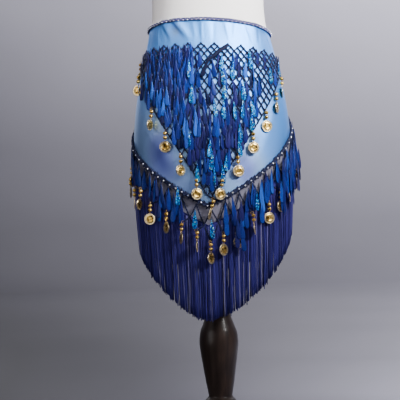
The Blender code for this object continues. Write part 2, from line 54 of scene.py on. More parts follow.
# The form's level sections: height, half width, depth in front of the middle, depth behind it
FORM_SECTIONS = (
    (0.456, 0.1270, 0.0890, 0.0930),
    (0.490, 0.1415, 0.0990, 0.1060),
    (0.560, 0.1500, 0.1050, 0.1150),
    (0.640, 0.1537, 0.1080, 0.1195),
    (0.700, 0.1543, 0.1082, 0.1200),
    (0.740, 0.1512, 0.1063, 0.1155),
    (0.784, 0.1450, 0.1030, 0.1085),
    (0.848, 0.1320, 0.0970, 0.0980),
    (0.875, 0.1252, 0.0940, 0.0925),
    (0.900, 0.1188, 0.0910, 0.0880),
    (0.930, 0.1135, 0.0885, 0.0838),
    (0.965, 0.1112, 0.0868, 0.0805),
    (1.000, 0.1120, 0.0866, 0.0790),
    (1.050, 0.1175, 0.0910, 0.0815),
    (1.110, 0.1290, 0.1020, 0.0880),
    (1.180, 0.1400, 0.1170, 0.0940),
    (1.250, 0.1460, 0.1120, 0.0965),
    (1.320, 0.1500, 0.0940, 0.0940),
    (1.366, 0.1450, 0.0790, 0.0865),
    (1.398, 0.1150, 0.0660, 0.0745),
    (1.422, 0.0780, 0.0560, 0.0615),
    (1.448, 0.0575, 0.0520, 0.0540),
    (1.478, 0.0530, 0.0500, 0.0500),
)
HIP_HEIGHT = 0.690          # below this what hangs falls free of the form, drawing in a little
HANG_IN = 0.020
GIRTH_HEIGHT = 0.700

# The satin triangle
CLOTH_OUTSIDE = 0.0022      # the layer of its outer face
CLOTH_THICKNESS = 0.0006
TOP_LEVEL = 0.914
TOP_RISE = 0.015
TOP_DIP = 0.0075
POINT_GIRTH = -0.014
POINT_HEIGHT = 0.5686
# How far the hem has risen, by girth from the point: girth, on the left, on the right
HEM_RISES = (
    (0.00, 0.0000, 0.0000),
    (0.05, 0.0286, 0.0243),
    (0.10, 0.0615, 0.0550),
    (0.15, 0.0986, 0.0920),
    (0.19, 0.1310, 0.1270),
    (0.25, 0.1780, 0.1750),
    (0.32, 0.2220, 0.2200),
    (0.40, 0.2620, 0.2620),
    (0.44, 0.2780, 0.2780),
)
FOLD_DEPTH = 0.058
# Folds that run down from the top edge: girth, half width, rise, slant
FOLDS = (
    (-0.300, 0.017, 0.0030, -0.25),
    (-0.215, 0.016, 0.0010, 0.20),
    (-0.122, 0.013, 0.0045, 0.55),
    (-0.088, 0.014, 0.0050, 0.90),
    (-0.010, 0.016, 0.0022, 0.10),
    (0.050, 0.017, 0.0020, -0.10),
    (0.122, 0.018, 0.0026, 0.15),
    (0.210, 0.016, 0.0010, -0.30),
    (0.305, 0.018, 0.0030, 0.25),
)
# Fine creases: from girth and height, to girth and height, half width, rise
CREASES = (
    (-0.100, 0.922, -0.064, 0.895, 0.0042, -0.0026),
    (-0.090, 0.924, -0.056, 0.900, 0.0040, 0.0012),
    (-0.125, 0.915, -0.102, 0.890, 0.0036, -0.0020),
    (-0.145, 0.912, -0.133, 0.886, 0.0040, 0.0012),
    (-0.042, 0.922, -0.033, 0.892, 0.0050, 0.0007),
    (-0.020, 0.923, -0.018, 0.888, 0.0036, 0.0009),
    (0.012, 0.920, 0.009, 0.886, 0.0045, -0.0006),
    (0.040, 0.920, 0.048, 0.886, 0.0038, 0.0008),
    (0.066, 0.918, 0.060, 0.886, 0.0040, -0.0006),
    (0.090, 0.916, 0.101, 0.886, 0.0038, 0.0009),
    (0.134, 0.910, 0.128, 0.882, 0.0045, -0.0008),
    (0.165, 0.905, 0.174, 0.872, 0.0045, 0.0010),
    (-0.185, 0.913, -0.178, 0.880, 0.0050, 0.0012),
    (-0.245, 0.905, -0.225, 0.860, 0.0060, 0.0012),
    (0.235, 0.900, 0.220, 0.850, 0.0060, 0.0012),
    (-0.165, 0.800, -0.100, 0.690, 0.0120, -0.0010),
    (-0.120, 0.700, -0.070, 0.635, 0.0100, 0.0009),
    (0.150, 0.790, 0.100, 0.680, 0.0120, 0.0009),
    (0.090, 0.690, 0.050, 0.635, 0.0100, -0.0008),
    (-0.270, 0.830, -0.220, 0.760, 0.0090, 0.0012),
    (0.270, 0.830, 0.220, 0.760, 0.0090, 0.0012),
    (-0.330, 0.860, -0.260, 0.805, 0.0070, -0.0014),
    (0.330, 0.860, 0.260, 0.805, 0.0070, -0.0014),
)
CREASE_OVERRUN = 0.25       # how far a crease runs on past its ends, and where it fades there: shares of it
CREASE_FADES = (0.4, 0.6)

# The knot behind
KNOT_HEIGHT = 0.866
KNOT_SIZE = (0.036, 0.026, 0.032)
KNOT_LAYER = 0.0148
GATHER_LENGTH = 0.100
GATHER_HALF_HEIGHT = 0.013
GATHER_WAVES = 2
GATHER_RISE = 0.0016
GATHER_CREASE = 0.0009      # the fine creases between the gathers: rise, number, and how far they run askew
GATHER_CREASES = 5.5
GATHER_DRIFT = 9.0
CLOTH_WALL = 0.0012
CLOTH_INSIDE = 0.0010
INTO_KNOT = 0.008           # how far the cloth runs on into the knot
END_LENGTH = 0.165
END_WIDTH = 0.022
END_SPREAD = 0.013
END_LAYER = 0.0030

# The upper net, a triangle of half meshes counted from its top row down to its tip
NET_LAYER = 0.0044          # the middle of its yarn
NET_DROP = 0.048
NET_DEPTH = 0.300
NET_HALF_GIRTH = 0.235
NET_CENTRE = -0.0045
NET_DRIFT = -0.0045         # how far its rows have moved over by the time they reach the tip
NET_TIP = -0.0015           # the tip's girth
NET_ROWS = 15
NET_STRETCH = 1.18
NET_SAG = 0.0065            # how much lower its heaviest rows hang
NET_SAG_ROW = 12
NET_SAG_ROWS = 3.5
NET_NARROWING = 0.75
NET_YARN = 0.0010           # a ply's radius
NET_SPLIT = 2               # meshes of the finer yarn, side by side in each large one
DROP_LAYER = 0.0053         # the net's outer face, which the drops of the upper net hang on
TIP_DROP_STAND = 0.0005
UPPER_DROP_ROWS_LEFT = (13, 11, 9, 7, 3, 1)
UPPER_DROP_ROWS_RIGHT = (13, 11, 9, 7, 5, 3, 0)

# The lower net: how far its three rows of knots lie under the hem, and their layers
LOOP_PITCH = 0.0275
LOOP_CENTRE = -0.008
LOOP_SIDE_COUNT = 13
LOOP_ROWS = ((0.0088, 0.0045), (0.0400, 0.0045), (0.0660, 0.0071))
# How the front's lowest knots hang, from left to right: below the hem, and to the side of their own place
FRONT_LOOPS = (
    (0.0500, -0.0040),
    (0.0620, -0.0090),
    (0.0550, -0.0020),
    (0.0575, 0.0000),
    (0.0573, 0.0010),
    (0.0710, -0.0020),
    (0.0670, -0.0050),
    (0.0670, -0.0060),
    (0.0610, -0.0040),
    (0.0640, 0.0020),
    (0.0620, 0.0010),
)
LOWER_DROP_LAYER = 0.0080

# The fringe
FRINGE_REACH = 0.389
STRIP_DROP = 0.0375
STRIP_HEIGHT = 0.0055
STRIP_LAYER = 0.0020
STRAND_PITCH = 0.00054
STRAND_RADIUS = 0.00078
CLUMP_PITCH = 0.0020        # strands cling together in narrow locks
STRAND_STEPS = 9
FRINGE_LENGTH = 0.1830
FRINGE_SHORTER = 0.020      # at the sides, from this girth on
FRINGE_SIDE = 0.150
FRINGE_LEFT_LONGER = 0.007
FRINGE_LEFT_FROM, FRINGE_LEFT_OVER = 0.010, 0.050
FRINGE_FLAT = 0.009         # how much shorter it is cut under the cloth's point
FRINGE_FLAT_WIDTH = 0.024
FRINGE_INWARD = 0.0035      # how far its ends draw in
STRAND_BULGE = 0.0008       # how far strands over the sides bow out

# A sequin, as long as a finger joint
SEQUIN_LENGTH = 0.0370
SEQUIN_WIDTH = 0.0114
SEQUIN_THICKNESS = 0.00035
SEQUIN_NECK = 0.16          # the share of its width at the narrow end
SEQUIN_TAPER = 1.15         # the powers that shape its taper and its round ends
SEQUIN_ROUND = 0.75
SEQUIN_FULL = 1.16          # how much its sides are filled out before they are cut to its width
SEQUIN_EDGE = 0.0010        # the bevel round its raised middle: width and rise
SEQUIN_DOME = 0.00025

# The drops
COIN_RADIUS = 0.0111
COIN_THICKNESS = 0.0013
COIN_FALL = 0.0312          # from where a drop hangs down to its coin's middle
COIN_STAND = 0.0042
BEAD_RADIUS = 0.0040
BEAD_FALLS = (0.0052, 0.0137)
# How drops are turned (radians, to the wearer's left where positive) and leant; the others hang at random
UPPER_TURNS = {1: (1.35, 0.30), 2: (0.40, 0.0), 3: (1.00, 0.0), 4: (0.35, 0.0), 5: (1.70, 0.02),
               6: (0.80, 0.0), 8: (0.35, 0.18), 9: (0.05, -0.03), 10: (-0.10, 0.0), 11: (-0.20, 0.0),
               12: (0.45, 0.0), 13: (0.35, 0.0)}
LOWER_TURNS = {7: (-0.20, 0.0), 8: (-0.35, 0.0), 9: (2.00, 0.0), 10: (0.40, 0.05), 11: (-0.60, 0.0),
               12: (-1.00, 0.02), 13: (1.60, 0.0), 14: (1.00, 0.0), 15: (0.70, 0.05), 16: (0.30, 0.0),
               17: (1.10, 0.0), 18: (-0.12, 0.03), 19: (0.10, 0.0), 20: (0.45, 0.0), 21: (0.50, 0.0)}
RANDOM_TURN = 0.45
RANDOM_LEAN = 0.05
TURNED_TILT = 0.20          # how far a drop that is turned edge on swings out
COVERED_DROPS = (16, 19, 20, 21, 22)  # drops of the lower net that sequins hang over


# Working out places

def smooth_values(rows, places):
    """Reads all columns of a table, whose first column rises, by smooth curves through its rows."""
    table = np.array(rows)
    marks, values = table[:, 0], table[:, 1:]
    places = np.clip(places, marks[0], marks[-1])
    low = np.clip(np.searchsorted(marks, places, side="right") - 1, 0, len(marks) - 2)
    before = np.maximum(np.arange(len(marks)) - 1, 0)
    after = np.minimum(np.arange(len(marks)) + 1, len(marks) - 1)
    slopes = (values[after] - values[before]) / (marks[after] - marks[before])[:, None]
    step = (marks[low + 1] - marks[low])[..., None]
    along = (places - marks[low])[..., None] / step
    square, cube = along ** 2, along ** 3
    return ((2 * cube - 3 * square + 1) * values[low] + (cube - 2 * square + along) * step * slopes[low]
            + (3 * square - 2 * cube) * values[low + 1] + (cube - square) * step * slopes[low + 1])


def smooth_step(value):
    value = np.clip(value, 0.0, 1.0)
    return value * value * (3 - 2 * value)


def girth_table(steps=720):
    """The girth reached at each of many equal steps of angle, from the middle of the front round."""
    half_width, front, back = smooth_values(FORM_SECTIONS, np.array(GIRTH_HEIGHT))
    angles = math.pi * (np.arange(steps) + 0.5) / steps
    depth = np.where(np.cos(angles) > 0, front, back)
    lengths = np.hypot(half_width * np.cos(angles), depth * np.sin(angles)) * math.pi / steps
    return np.concatenate(([0.0], np.cumsum(lengths))), math.pi * np.arange(steps + 1) / steps


GIRTHS, ANGLES = girth_table()
HALF_GIRTH = GIRTHS[-1]


def angle_at(girth):
    """The angle from the front at which a girth lies, growing on past the back's middle."""
    length = np.abs(girth)
    angle = np.interp(np.minimum(length, 2 * HALF_GIRTH - length), GIRTHS, ANGLES)
    return np.sign(girth) * np.where(length > HALF_GIRTH, 2 * math.pi - angle, angle)


def form_section(angle, height):
    """The form's half width and depth at an angle and a height."""
    half_width, front, back = np.moveaxis(smooth_values(FORM_SECTIONS, height), -1, 0)
    return half_width, np.where(np.cos(angle) > 0, front, back)


def outward(angle, height):
    """The level direction that points out of the form."""
    half_width, depth = form_section(angle, height)
    out = np.stack(np.broadcast_arrays(np.sin(angle) / half_width, -np.cos(angle) / depth), axis=-1)
    return out / np.linalg.norm(out, axis=-1, keepdims=True)


def on_form(angle, height, layer):
    half_width, depth = form_section(angle, height)
    out = outward(angle, height)
    x = half_width * np.sin(angle) + layer * out[..., 0]
    y = -depth * np.cos(angle) + layer * out[..., 1]
    return np.stack(np.broadcast_arrays(x, y, height), axis=-1)


def hung(girth, height, layer):
    """A point of something worn: over the hips it follows them, and below it falls straight."""
    girth, height = np.asarray(girth, float), np.asarray(height, float)
    inward = HANG_IN * np.maximum(HIP_HEIGHT - height, 0.0)
    points = on_form(angle_at(girth), np.maximum(height, HIP_HEIGHT), layer - inward).copy()
    points[..., 2] = height
    return points


def girth_beside(aside, height, layer):
    """The girth behind the form at which a layer's point lies this far aside of the middle."""
    girths = np.linspace(HALF_GIRTH * 0.8, HALF_GIRTH, 4000)
    return float(girths[np.argmin(np.abs(hung(girths, height, layer)[:, 0] - aside))])


CLOTH_END = girth_beside(KNOT_SIZE[0] / 2, KNOT_HEIGHT, KNOT_LAYER)


def to_knot(girth):
    return smooth_step((np.abs(girth) - (CLOTH_END - GATHER_LENGTH)) / GATHER_LENGTH)


def top_height(girth):
    angle = angle_at(girth)
    free = TOP_LEVEL + TOP_RISE * np.cos(angle) - TOP_DIP * np.sin(angle)
    return free + (KNOT_HEIGHT + GATHER_HALF_HEIGHT - free) * to_knot(girth)


def hem_height(girth):
    from_point = np.asarray(girth, float) - POINT_GIRTH
    rises = smooth_values(HEM_RISES, np.abs(from_point))
    free = POINT_HEIGHT + np.where(from_point > 0, rises[..., 1], rises[..., 0])
    return free + (KNOT_HEIGHT - GATHER_HALF_HEIGHT - free) * to_knot(girth)


def fringe_top(girths):
    return hem_height(girths) - STRIP_DROP - STRIP_HEIGHT * 0.5


def fringe_length(girths):
    short = FRINGE_SHORTER * np.minimum(np.abs(girths) / FRINGE_SIDE, 1.0) ** 2
    short += FRINGE_FLAT * np.exp(-((girths - POINT_GIRTH) / FRINGE_FLAT_WIDTH) ** 2)
    long = FRINGE_LEFT_LONGER * smooth_step((FRINGE_LEFT_FROM - girths) / FRINGE_LEFT_OVER)
    return FRINGE_LENGTH + STRIP_HEIGHT * 0.5 - short + long


def cloth_rise(girth, height):
    """How far folds and gathers lift the cloth off its plain layer."""
    girth, height = np.broadcast_arrays(np.asarray(girth, float), np.asarray(height, float))
    top, hem = top_height(girth), hem_height(girth)
    below = np.maximum(top - height, 0.0)
    fade = 1 - smooth_step(below / FOLD_DEPTH)
    rise = np.zeros_like(girth)
    for place, half_width, lift, slant in FOLDS:
        rise += lift * fade * np.exp(-((girth - place - slant * below) / half_width) ** 2)
    down = np.minimum(below / (top - hem), 1.0)
    rise += GATHER_RISE * to_knot(girth) * (1 - np.cos(2 * math.pi * GATHER_WAVES * down))
    at_knot = smooth_step((np.abs(girth) - (CLOTH_END - GATHER_LENGTH / 2)) / (GATHER_LENGTH / 2))
    return rise + (KNOT_LAYER - CLOTH_INSIDE - 2 * CLOTH_WALL) * at_knot


def crease_rise(girth, height):
    """The fine creases, each a soft ridge or trough along a straight line, fading at both ends."""
    rise = np.zeros_like(girth)
    for from_girth, from_height, to_girth, to_height, half_width, lift in CREASES:
        run, drop = to_girth - from_girth, to_height - from_height
        length = math.hypot(run, drop)
        along = ((girth - from_girth) * run + (height - from_height) * drop) / length ** 2
        aside = ((girth - from_girth) * drop - (height - from_height) * run) / length
        ends = smooth_step((along + CREASE_OVERRUN) / CREASE_FADES[0])
        ends *= smooth_step((1 + CREASE_OVERRUN - along) / CREASE_FADES[1])
        rise += lift * ends * np.exp(-(aside / half_width) ** 2)
    near = to_knot(girth)
    down = (top_height(girth) - height) / (top_height(girth) - hem_height(girth))
    return rise + GATHER_CREASE * near * np.sin(2 * math.pi * GATHER_CREASES * down + GATHER_DRIFT * near)


def on_cloth(girth, height, layer):
    return hung(girth, height, layer + cloth_rise(girth, height))


# Making pieces

def deselect_all():
    bpy.ops.object.select_all(action="DESELECT")


def thicken(piece, thickness, offset):
    """Makes a sheet solid, inwards where the offset is -1 and outwards where it is 1."""
    wall = piece.modifiers.new("Solidify", "SOLIDIFY")
    wall.thickness = thickness
    wall.offset = offset
    deselect_all()
    piece.select_set(True)
    bpy.context.view_layer.objects.active = piece
    bpy.ops.object.modifier_apply(modifier=wall.name)


def named(piece, name):
    piece.name = name
    piece.data.name = name
    return piece


def read_points(mesh):
    points = np.empty(3 * len(mesh.vertices))
    mesh.vertices.foreach_get("co", points)
    return points.reshape(-1, 3)


def write_points(mesh, points):
    mesh.vertices.foreach_set("co", np.ascontiguousarray(points, dtype=np.float32).ravel())
    mesh.update()


def lay_pattern(mesh, across, along):
    """Gives each point its place on the flat cloth, in metres, for the weave to follow."""
    corners = np.empty(len(mesh.loops), dtype=np.int32)
    mesh.loops.foreach_get("vertex_index", corners)
    layer = mesh.uv_layers.active or mesh.uv_layers.new(name="cloth")
    layer.data.foreach_set("uv", np.stack([across[corners], along[corners]], axis=-1).ravel())


def wrapped_sheet(name, columns, rows, place):
    """A grid of squares, each of whose points goes where place puts its shares across and down."""
    deselect_all()
    bpy.ops.mesh.primitive_grid_add(x_subdivisions=columns, y_subdivisions=rows, size=2)
    piece = named(bpy.context.object, name)
    flat = read_points(piece.data)
    across, down = (1 + flat[:, 0]) / 2, (1 - flat[:, 1]) / 2
    points, pattern = place(across, down)
    write_points(piece.data, points)
    lay_pattern(piece.data, pattern[0], pattern[1])
    piece.data.shade_smooth()
    return piece


def turned_piece(name, profile, sides):
    """A piece turned on the stand's axis: a disc drawn up through (height, radius) rows."""
    deselect_all()
    (first_height, first_radius), *others = profile
    bpy.ops.mesh.primitive_circle_add(vertices=sides, radius=first_radius, fill_type="NGON")
    piece = named(bpy.context.object, name)
    bpy.ops.object.mode_set(mode="EDIT")
    bpy.ops.mesh.select_all(action="SELECT")
    bpy.ops.transform.translate(value=(0, 0, first_height))
    height, radius = first_height, first_radius
    for next_height, next_radius in others:
        bpy.ops.mesh.extrude_region_move(TRANSFORM_OT_translate={"value": (0, 0, next_height - height)})
        share = next_radius / radius
        bpy.ops.transform.resize(value=(share, share, 1), center_override=(0, 0, next_height))
        height, radius = next_height, next_radius
    bpy.ops.mesh.select_all(action="SELECT")
    bpy.ops.mesh.normals_make_consistent(inside=False)
    bpy.ops.object.mode_set(mode="OBJECT")
    smooth_but_sharp(piece, 50)
    return piece


def profile_through(marks, steps):
    """Many (height, radius) rows along a smooth curve through a few."""
    heights = np.linspace(marks[0][0], marks[-1][0], steps)
    return list(zip(heights, smooth_values(marks, heights)[:, 0]))


def mesh_piece(name, points, faces):
    mesh = bpy.data.meshes.new(name)
    mesh.from_pydata(points.reshape(-1, 3).tolist(), [], faces)
    mesh.shade_smooth()
    piece = bpy.data.objects.new(name, mesh)
    bpy.context.scene.collection.objects.link(piece)
    return piece


def give_shades(piece, shades, points_each):
    """Each repeat's shade, from 0 to 1, for its material to read; on the form and the satin it is painted
    shade.
    """
    shade = piece.data.attributes.new("shade", "FLOAT", "POINT")
    shade.data.foreach_set("value", np.repeat(shades, points_each).astype(np.float32))


def aside_and_out(paths):
    """Each point's two directions square to its path: level to the side, and out of the form."""
    along = np.gradient(paths, axis=1)
    along /= np.linalg.norm(along, axis=-1, keepdims=True)
    aside = np.cross(along, paths * (1, 1, 0))
    aside /= np.linalg.norm(aside, axis=-1, keepdims=True)
    return aside, np.cross(aside, along)


YARN_SIDES = 5              # how many sides thin yarns and thicker cords have
CORD_SIDES = 6


def ring_faces(place):
    """The squares between neighbouring rings of points, numbered by strand, ring and side."""
    following = np.roll(place, -1, axis=2)
    squares = np.stack([place[:, :-1], place[:, 1:], following[:, 1:], following[:, :-1]], axis=-1)
    return squares.reshape(-1, 4).tolist()


def tubes(name, paths, radii, sides, shades=None):
    """Round closed strands along paths, an array of strand by point, with a radius at each point."""
    count, steps = paths.shape[:2]
    aside, out = aside_and_out(paths)
    turn = 2 * math.pi * np.arange(sides) / sides
    around = np.cos(turn)[:, None] * aside[:, :, None] + np.sin(turn)[:, None] * out[:, :, None]
    radii = np.broadcast_to(radii, (count, steps))
    points = paths[:, :, None] + radii[:, :, None, None] * around
    place = np.arange(count * steps * sides).reshape(count, steps, sides)
    faces = ring_faces(place) + place[:, 0].tolist() + place[:, -1, ::-1].tolist()
    piece = mesh_piece(name, points, faces)
    if shades is not None:
        give_shades(piece, shades, steps * sides)
    return piece


PLY_SWING = 0.85            # how far a ply's middle swings round its yarn's, in radii


def twisted(paths, radius, turns):
    """The two plies of twisted yarn along each path."""
    aside, out = aside_and_out(paths)
    turn = 2 * math.pi * turns * np.linspace(0, 1, paths.shape[1])[None, :, None]
    swing = PLY_SWING * radius * (np.cos(turn) * aside + np.sin(turn) * out)
    return np.concatenate([paths + swing, paths - swing])


def joined_copies(name, model, frames, shades=None):
    """One piece of many copies of a modelled piece, each placed by its own 3 by 4 frame."""
    points = read_points(model.data)
    placed = np.einsum("kij,nj->kni", frames[:, :, :3], points) + frames[:, None, :, 3]
    faces = [tuple(face.vertices) for face in model.data.polygons]
    starts = range(0, len(frames) * len(points), len(points))
    all_faces = [[start + corner for corner in face] for start in starts for face in faces]
    piece = mesh_piece(name, placed, all_faces)
    if model.data.uv_layers:
        flat = np.empty(2 * len(model.data.loops))
        model.data.uv_layers.active.data.foreach_get("uv", flat)
        piece.data.uv_layers.new(name="piece").data.foreach_set("uv", np.tile(flat, len(frames)))
    if shades is not None:
        give_shades(piece, shades, len(points))
    return piece


def remove_model(model):
    bpy.data.objects.remove(model)


def join_parts(parts):
    """Joins modelled parts into the first of them, with their places, turns and sizes worked in."""
    deselect_all()
    for part in parts:
        part.select_set(True)
    bpy.context.view_layer.objects.active = parts[0]
    bpy.ops.object.join()
    bpy.ops.object.transform_apply(location=True, rotation=True, scale=True)
    return parts[0]


def smooth_but_sharp(piece, degrees):
    """Smooth faces, but for edges sharper than this."""
    deselect_all()
    piece.select_set(True)
    bpy.ops.object.shade_smooth_by_angle(angle=math.radians(degrees))


def turns_about(axis, angles):
    """Turns about x (0), y (1) or z (2), one for each angle."""
    first, second = (axis + 1) % 3, (axis + 2) % 3
    turns = np.tile(np.eye(3), (len(angles), 1, 1))
    turns[:, first, first] = turns[:, second, second] = np.cos(angles)
    turns[:, first, second] = -np.sin(angles)
    turns[:, second, first] = np.sin(angles)
    return turns


def hanging_frames(girths, points, lean=0.0, tilt=0.0, yaw=0.0, size=1.0):
    """Frames that hang a model facing out of the form: leant sideways, its foot tilted out, and turned."""
    girths = np.asarray(girths, float)
    count = len(girths)
    out = outward(angle_at(girths), np.maximum(points[:, 2], HIP_HEIGHT))
    frames = np.zeros((count, 3, 4))
    frames[:, 0, 0], frames[:, 1, 0] = -out[:, 1], out[:, 0]
    frames[:, 0, 1], frames[:, 1, 1] = -out[:, 0], -out[:, 1]
    frames[:, 2, 2] = 1.0
    lean, tilt, yaw, size = (np.broadcast_to(value, count) for value in (lean, tilt, yaw, size))
    turns = turns_about(1, lean) @ turns_about(0, -tilt) @ turns_about(2, yaw)
    frames[:, :, :3] = frames[:, :, :3] @ turns * size[:, None, None]
    frames[:, :, 3] = points
    return frames


# Finishes

def new_finish(name, colour, roughness, **sockets):
    """A material with one shader, whose even values sit on the shader's own sockets."""
    finish = bpy.data.materials.new(name)
    finish.use_nodes = True
    shader = finish.node_tree.nodes["Principled BSDF"]
    shader.inputs["Base Color"].default_value = (*colour, 1.0)
    shader.inputs["Roughness"].default_value = roughness
    for socket, value in sockets.items():
        shader.inputs[socket.replace("_", " ")].default_value = value
    return finish


def add_node(finish, kind, inputs=None, **settings):
    """A node whose inputs are numbers, colours or other nodes' outputs."""
    node = finish.node_tree.nodes.new("ShaderNode" + kind)
    for name, value in settings.items():
        setattr(node, name, value)
    for name, value in (inputs or {}).items():
        if isinstance(value, bpy.types.NodeSocket):
            finish.node_tree.links.new(value, node.inputs[name])
        else:
            node.inputs[name].default_value = value
    return node


def join_to_shader(finish, socket, output):
    shader = finish.node_tree.nodes["Principled BSDF"]
    finish.node_tree.links.new(output, shader.inputs[socket])


def colour_ramp(finish, factor, stops):
    """Colours read from a ramp of (place, colour) stops."""
    node = add_node(finish, "ValToRGB", {"Fac": factor})
    ramp = node.color_ramp
    while len(ramp.elements) < len(stops):
        ramp.elements.new(0.5)
    for element, (place, colour) in zip(ramp.elements, stops):
        element.position = place
        element.color = (*colour, 1.0)
    return node.outputs["Color"]


def raise_surface(finish, height, distance, strength=1.0):
    bump = add_node(finish, "Bump", {"Height": height, "Distance": distance, "Strength": strength})
    join_to_shader(finish, "Normal", bump.outputs["Normal"])


def places_on(finish, kind="Object", scale=(1, 1, 1)):
    """Where a finish reads its pattern: on the whole piece (Object) or on the flat cloth (UV), in metres."""
    places = add_node(finish, "TexCoord").outputs[kind]
    return add_node(finish, "Mapping", {"Vector": places, "Scale": scale}).outputs["Vector"]


def noise(finish, places, scale, detail=2.0):
    return add_node(finish, "TexNoise", {"Vector": places, "Scale": scale, "Detail": detail}).outputs["Fac"]


def threads(finish, places, scale, distortion, direction):
    return add_node(finish, "TexWave", {"Vector": places, "Scale": scale, "Distortion": distortion},
                    bands_direction=direction).outputs["Fac"]


def own_shade(finish):
    """The shade that give_shades gave."""
    return add_node(finish, "Attribute", attribute_name="shade").outputs["Fac"]


def maths(finish, operation, first, second=0.0):
    return add_node(finish, "Math", {0: first, 1: second}, operation=operation).outputs[0]


def carried(finish, value, low, high, start=0.0, end=1.0):
    """A value carried from the range start to end into the range low to high."""
    return add_node(finish, "MapRange", {"Value": value, "From Min": start, "From Max": end,
                                         "To Min": low, "To Max": high}).outputs[0]


def tint(finish, level, tones):
    """Colours the finish by tones that it runs through as the level grows from 0 to 1."""
    join_to_shader(finish, "Base Color", colour_ramp(finish, level, tones))


def roughen(finish, value, low, high):
    join_to_shader(finish, "Roughness", carried(finish, value, low, high))


# What each finish's colours run through: level, colour
# The jersey's darkest tone serves the painted shade behind the fringe
JERSEY_TONES = (
    (0.00, (0.160, 0.155, 0.215)),
    (0.70, (0.775, 0.755, 0.750)),
    (1.00, (0.830, 0.812, 0.808)),
)
WOOD_TONES = (
    (0.10, (0.0130, 0.0088, 0.0076)),
    (0.28, (0.0320, 0.0210, 0.0170)),
    (0.42, (0.0600, 0.0370, 0.0270)),
)
# The satin's greyer and darker tones serve its painted shade and reflection
SATIN_TONES = (
    (0.00, (0.085, 0.380, 0.980)),
    (0.25, (0.130, 0.380, 0.900)),
    (0.50, (0.200, 0.360, 0.660)),
    (0.75, (0.130, 0.190, 0.450)),
    (1.00, (0.060, 0.080, 0.280)),
)
SATIN_GLOSS_MIDDLE = 0.26   # the tone at which satin shines most; it is duller where greyer or bluer
# The fringe's two palest tones are painted highlights, worn by a few locks
FRINGE_TONES = (
    (0.00, (0.011, 0.009, 0.062)),
    (0.55, (0.030, 0.025, 0.165)),
    (0.84, (0.048, 0.043, 0.260)),
    (0.92, (0.130, 0.122, 0.280)),
    (1.00, (0.210, 0.200, 0.340)),
)
GOLD_TONES = (
    (0.36, (0.160, 0.080, 0.014)),
    (0.50, (0.660, 0.420, 0.090)),
    (0.74, (0.950, 0.700, 0.250)),
)
PALE_GOLD = (0.86, 0.76, 0.50, 1.0)     # of the coins' rims
PAILLETTE_TONES = (
    (0.00, (0.0022, 0.0030, 0.022)),
    (0.28, (0.0150, 0.0115, 0.088)),
    (0.44, (0.0070, 0.0100, 0.092)),
    (0.75, (0.0075, 0.0320, 0.245)),
    (1.00, (0.0200, 0.1050, 0.510)),
)
FOIL_TONES = (
    (0.00, (0.002, 0.012, 0.130)),
    (0.34, (0.004, 0.070, 0.500)),
    (0.54, (0.003, 0.270, 1.000)),
    (0.86, (0.004, 0.560, 1.000)),
    (0.95, (0.400, 0.920, 1.000)),
    (1.00, (0.950, 1.000, 1.000)),
)
SILVER_TONES = (
    (0.35, (0.66, 0.68, 0.84)),
    (0.62, (0.94, 0.95, 0.99)),
)
# Yarns: the tones of their hollows, darkened with painted shade, and of their tops, and their sheen
NAVY_YARN = ((0.002, 0.003, 0.016), (0.008, 0.014, 0.066), 0.12)
VIOLET_YARN = ((0.012, 0.011, 0.065), (0.052, 0.050, 0.160), 0.0)


def make_jersey():
    finish = new_finish("white_jersey", (0.80, 0.78, 0.775), 0.88, Sheen_Weight=0.25, Sheen_Roughness=0.5)
    places = places_on(finish, "UV")
    wales = threads(finish, places, 260.0, 0.6, "X")
    rows = threads(finish, places, 190.0, 0.8, "Y")
    mottled = carried(finish, noise(finish, places_on(finish), 14.0, 4.0), 0.70, 1.0)
    # Painted shade darkens the jersey where the fringe hangs in front of it
    level = maths(finish, "SUBTRACT", mottled, own_shade(finish))
    tint(finish, level, JERSEY_TONES)
    raise_surface(finish, maths(finish, "MULTIPLY", wales, rows), 0.0003, 0.5)
    return finish


def make_wood():
    finish = new_finish("dark_wood", (0.02, 0.013, 0.010), 0.44, Specular_IOR_Level=0.20, Coat_Weight=0.06,
                        Coat_Roughness=0.14)
    places = places_on(finish, scale=(1, 1, 0.10))
    grain = noise(finish, places, 90.0, 6.0)
    figure = noise(finish, places, 16.0, 3.0)
    mixed = maths(finish, "MULTIPLY", grain, figure)
    tint(finish, mixed, WOOD_TONES)
    roughen(finish, grain, 0.30, 0.46)
    raise_surface(finish, grain, 0.0004, 0.35)
    return finish


def make_satin():
    finish = new_finish("pale_blue_satin", (0.13, 0.36, 0.92), 0.50, Metallic=0.90, Coat_Weight=0.5,
                        Coat_Roughness=0.55, Coat_IOR=1.7)
    weave = threads(finish, places_on(finish, "UV"), 420.0, 0.4, "DIAGONAL")
    slubs = noise(finish, places_on(finish, "UV", (60, 900, 1)), 1.0, 3.0)
    uneven = carried(finish, noise(finish, places_on(finish, "UV", (1, 0.4, 1)), 16.0, 3.0), -0.12, 0.12)
    # The cloth's painted shade and reflection, with uneven tone of its own
    level = maths(finish, "ADD", own_shade(finish), uneven)
    tint(finish, level, SATIN_TONES)
    apart = maths(finish, "ABSOLUTE", maths(finish, "SUBTRACT", level, SATIN_GLOSS_MIDDLE))
    join_to_shader(finish, "Coat Weight", carried(finish, apart, 0.5, 0.08, 0.26, 0.70))
    raise_surface(finish, maths(finish, "ADD", weave, slubs), 0.00012, 0.5)
    return finish


def make_yarn(name, dark, light, sheen):
    finish = new_finish(name, light, 0.75, Sheen_Weight=sheen, Sheen_Roughness=0.4, Specular_IOR_Level=0.25)
    fluff = noise(finish, places_on(finish), 900.0, 3.0)
    # Painted shade: the hollows of the fluff's bump take the darker tone
    tint(finish, fluff, ((0.35, dark), (0.65, light)))
    raise_surface(finish, fluff, 0.0004, 0.6)
    return finish


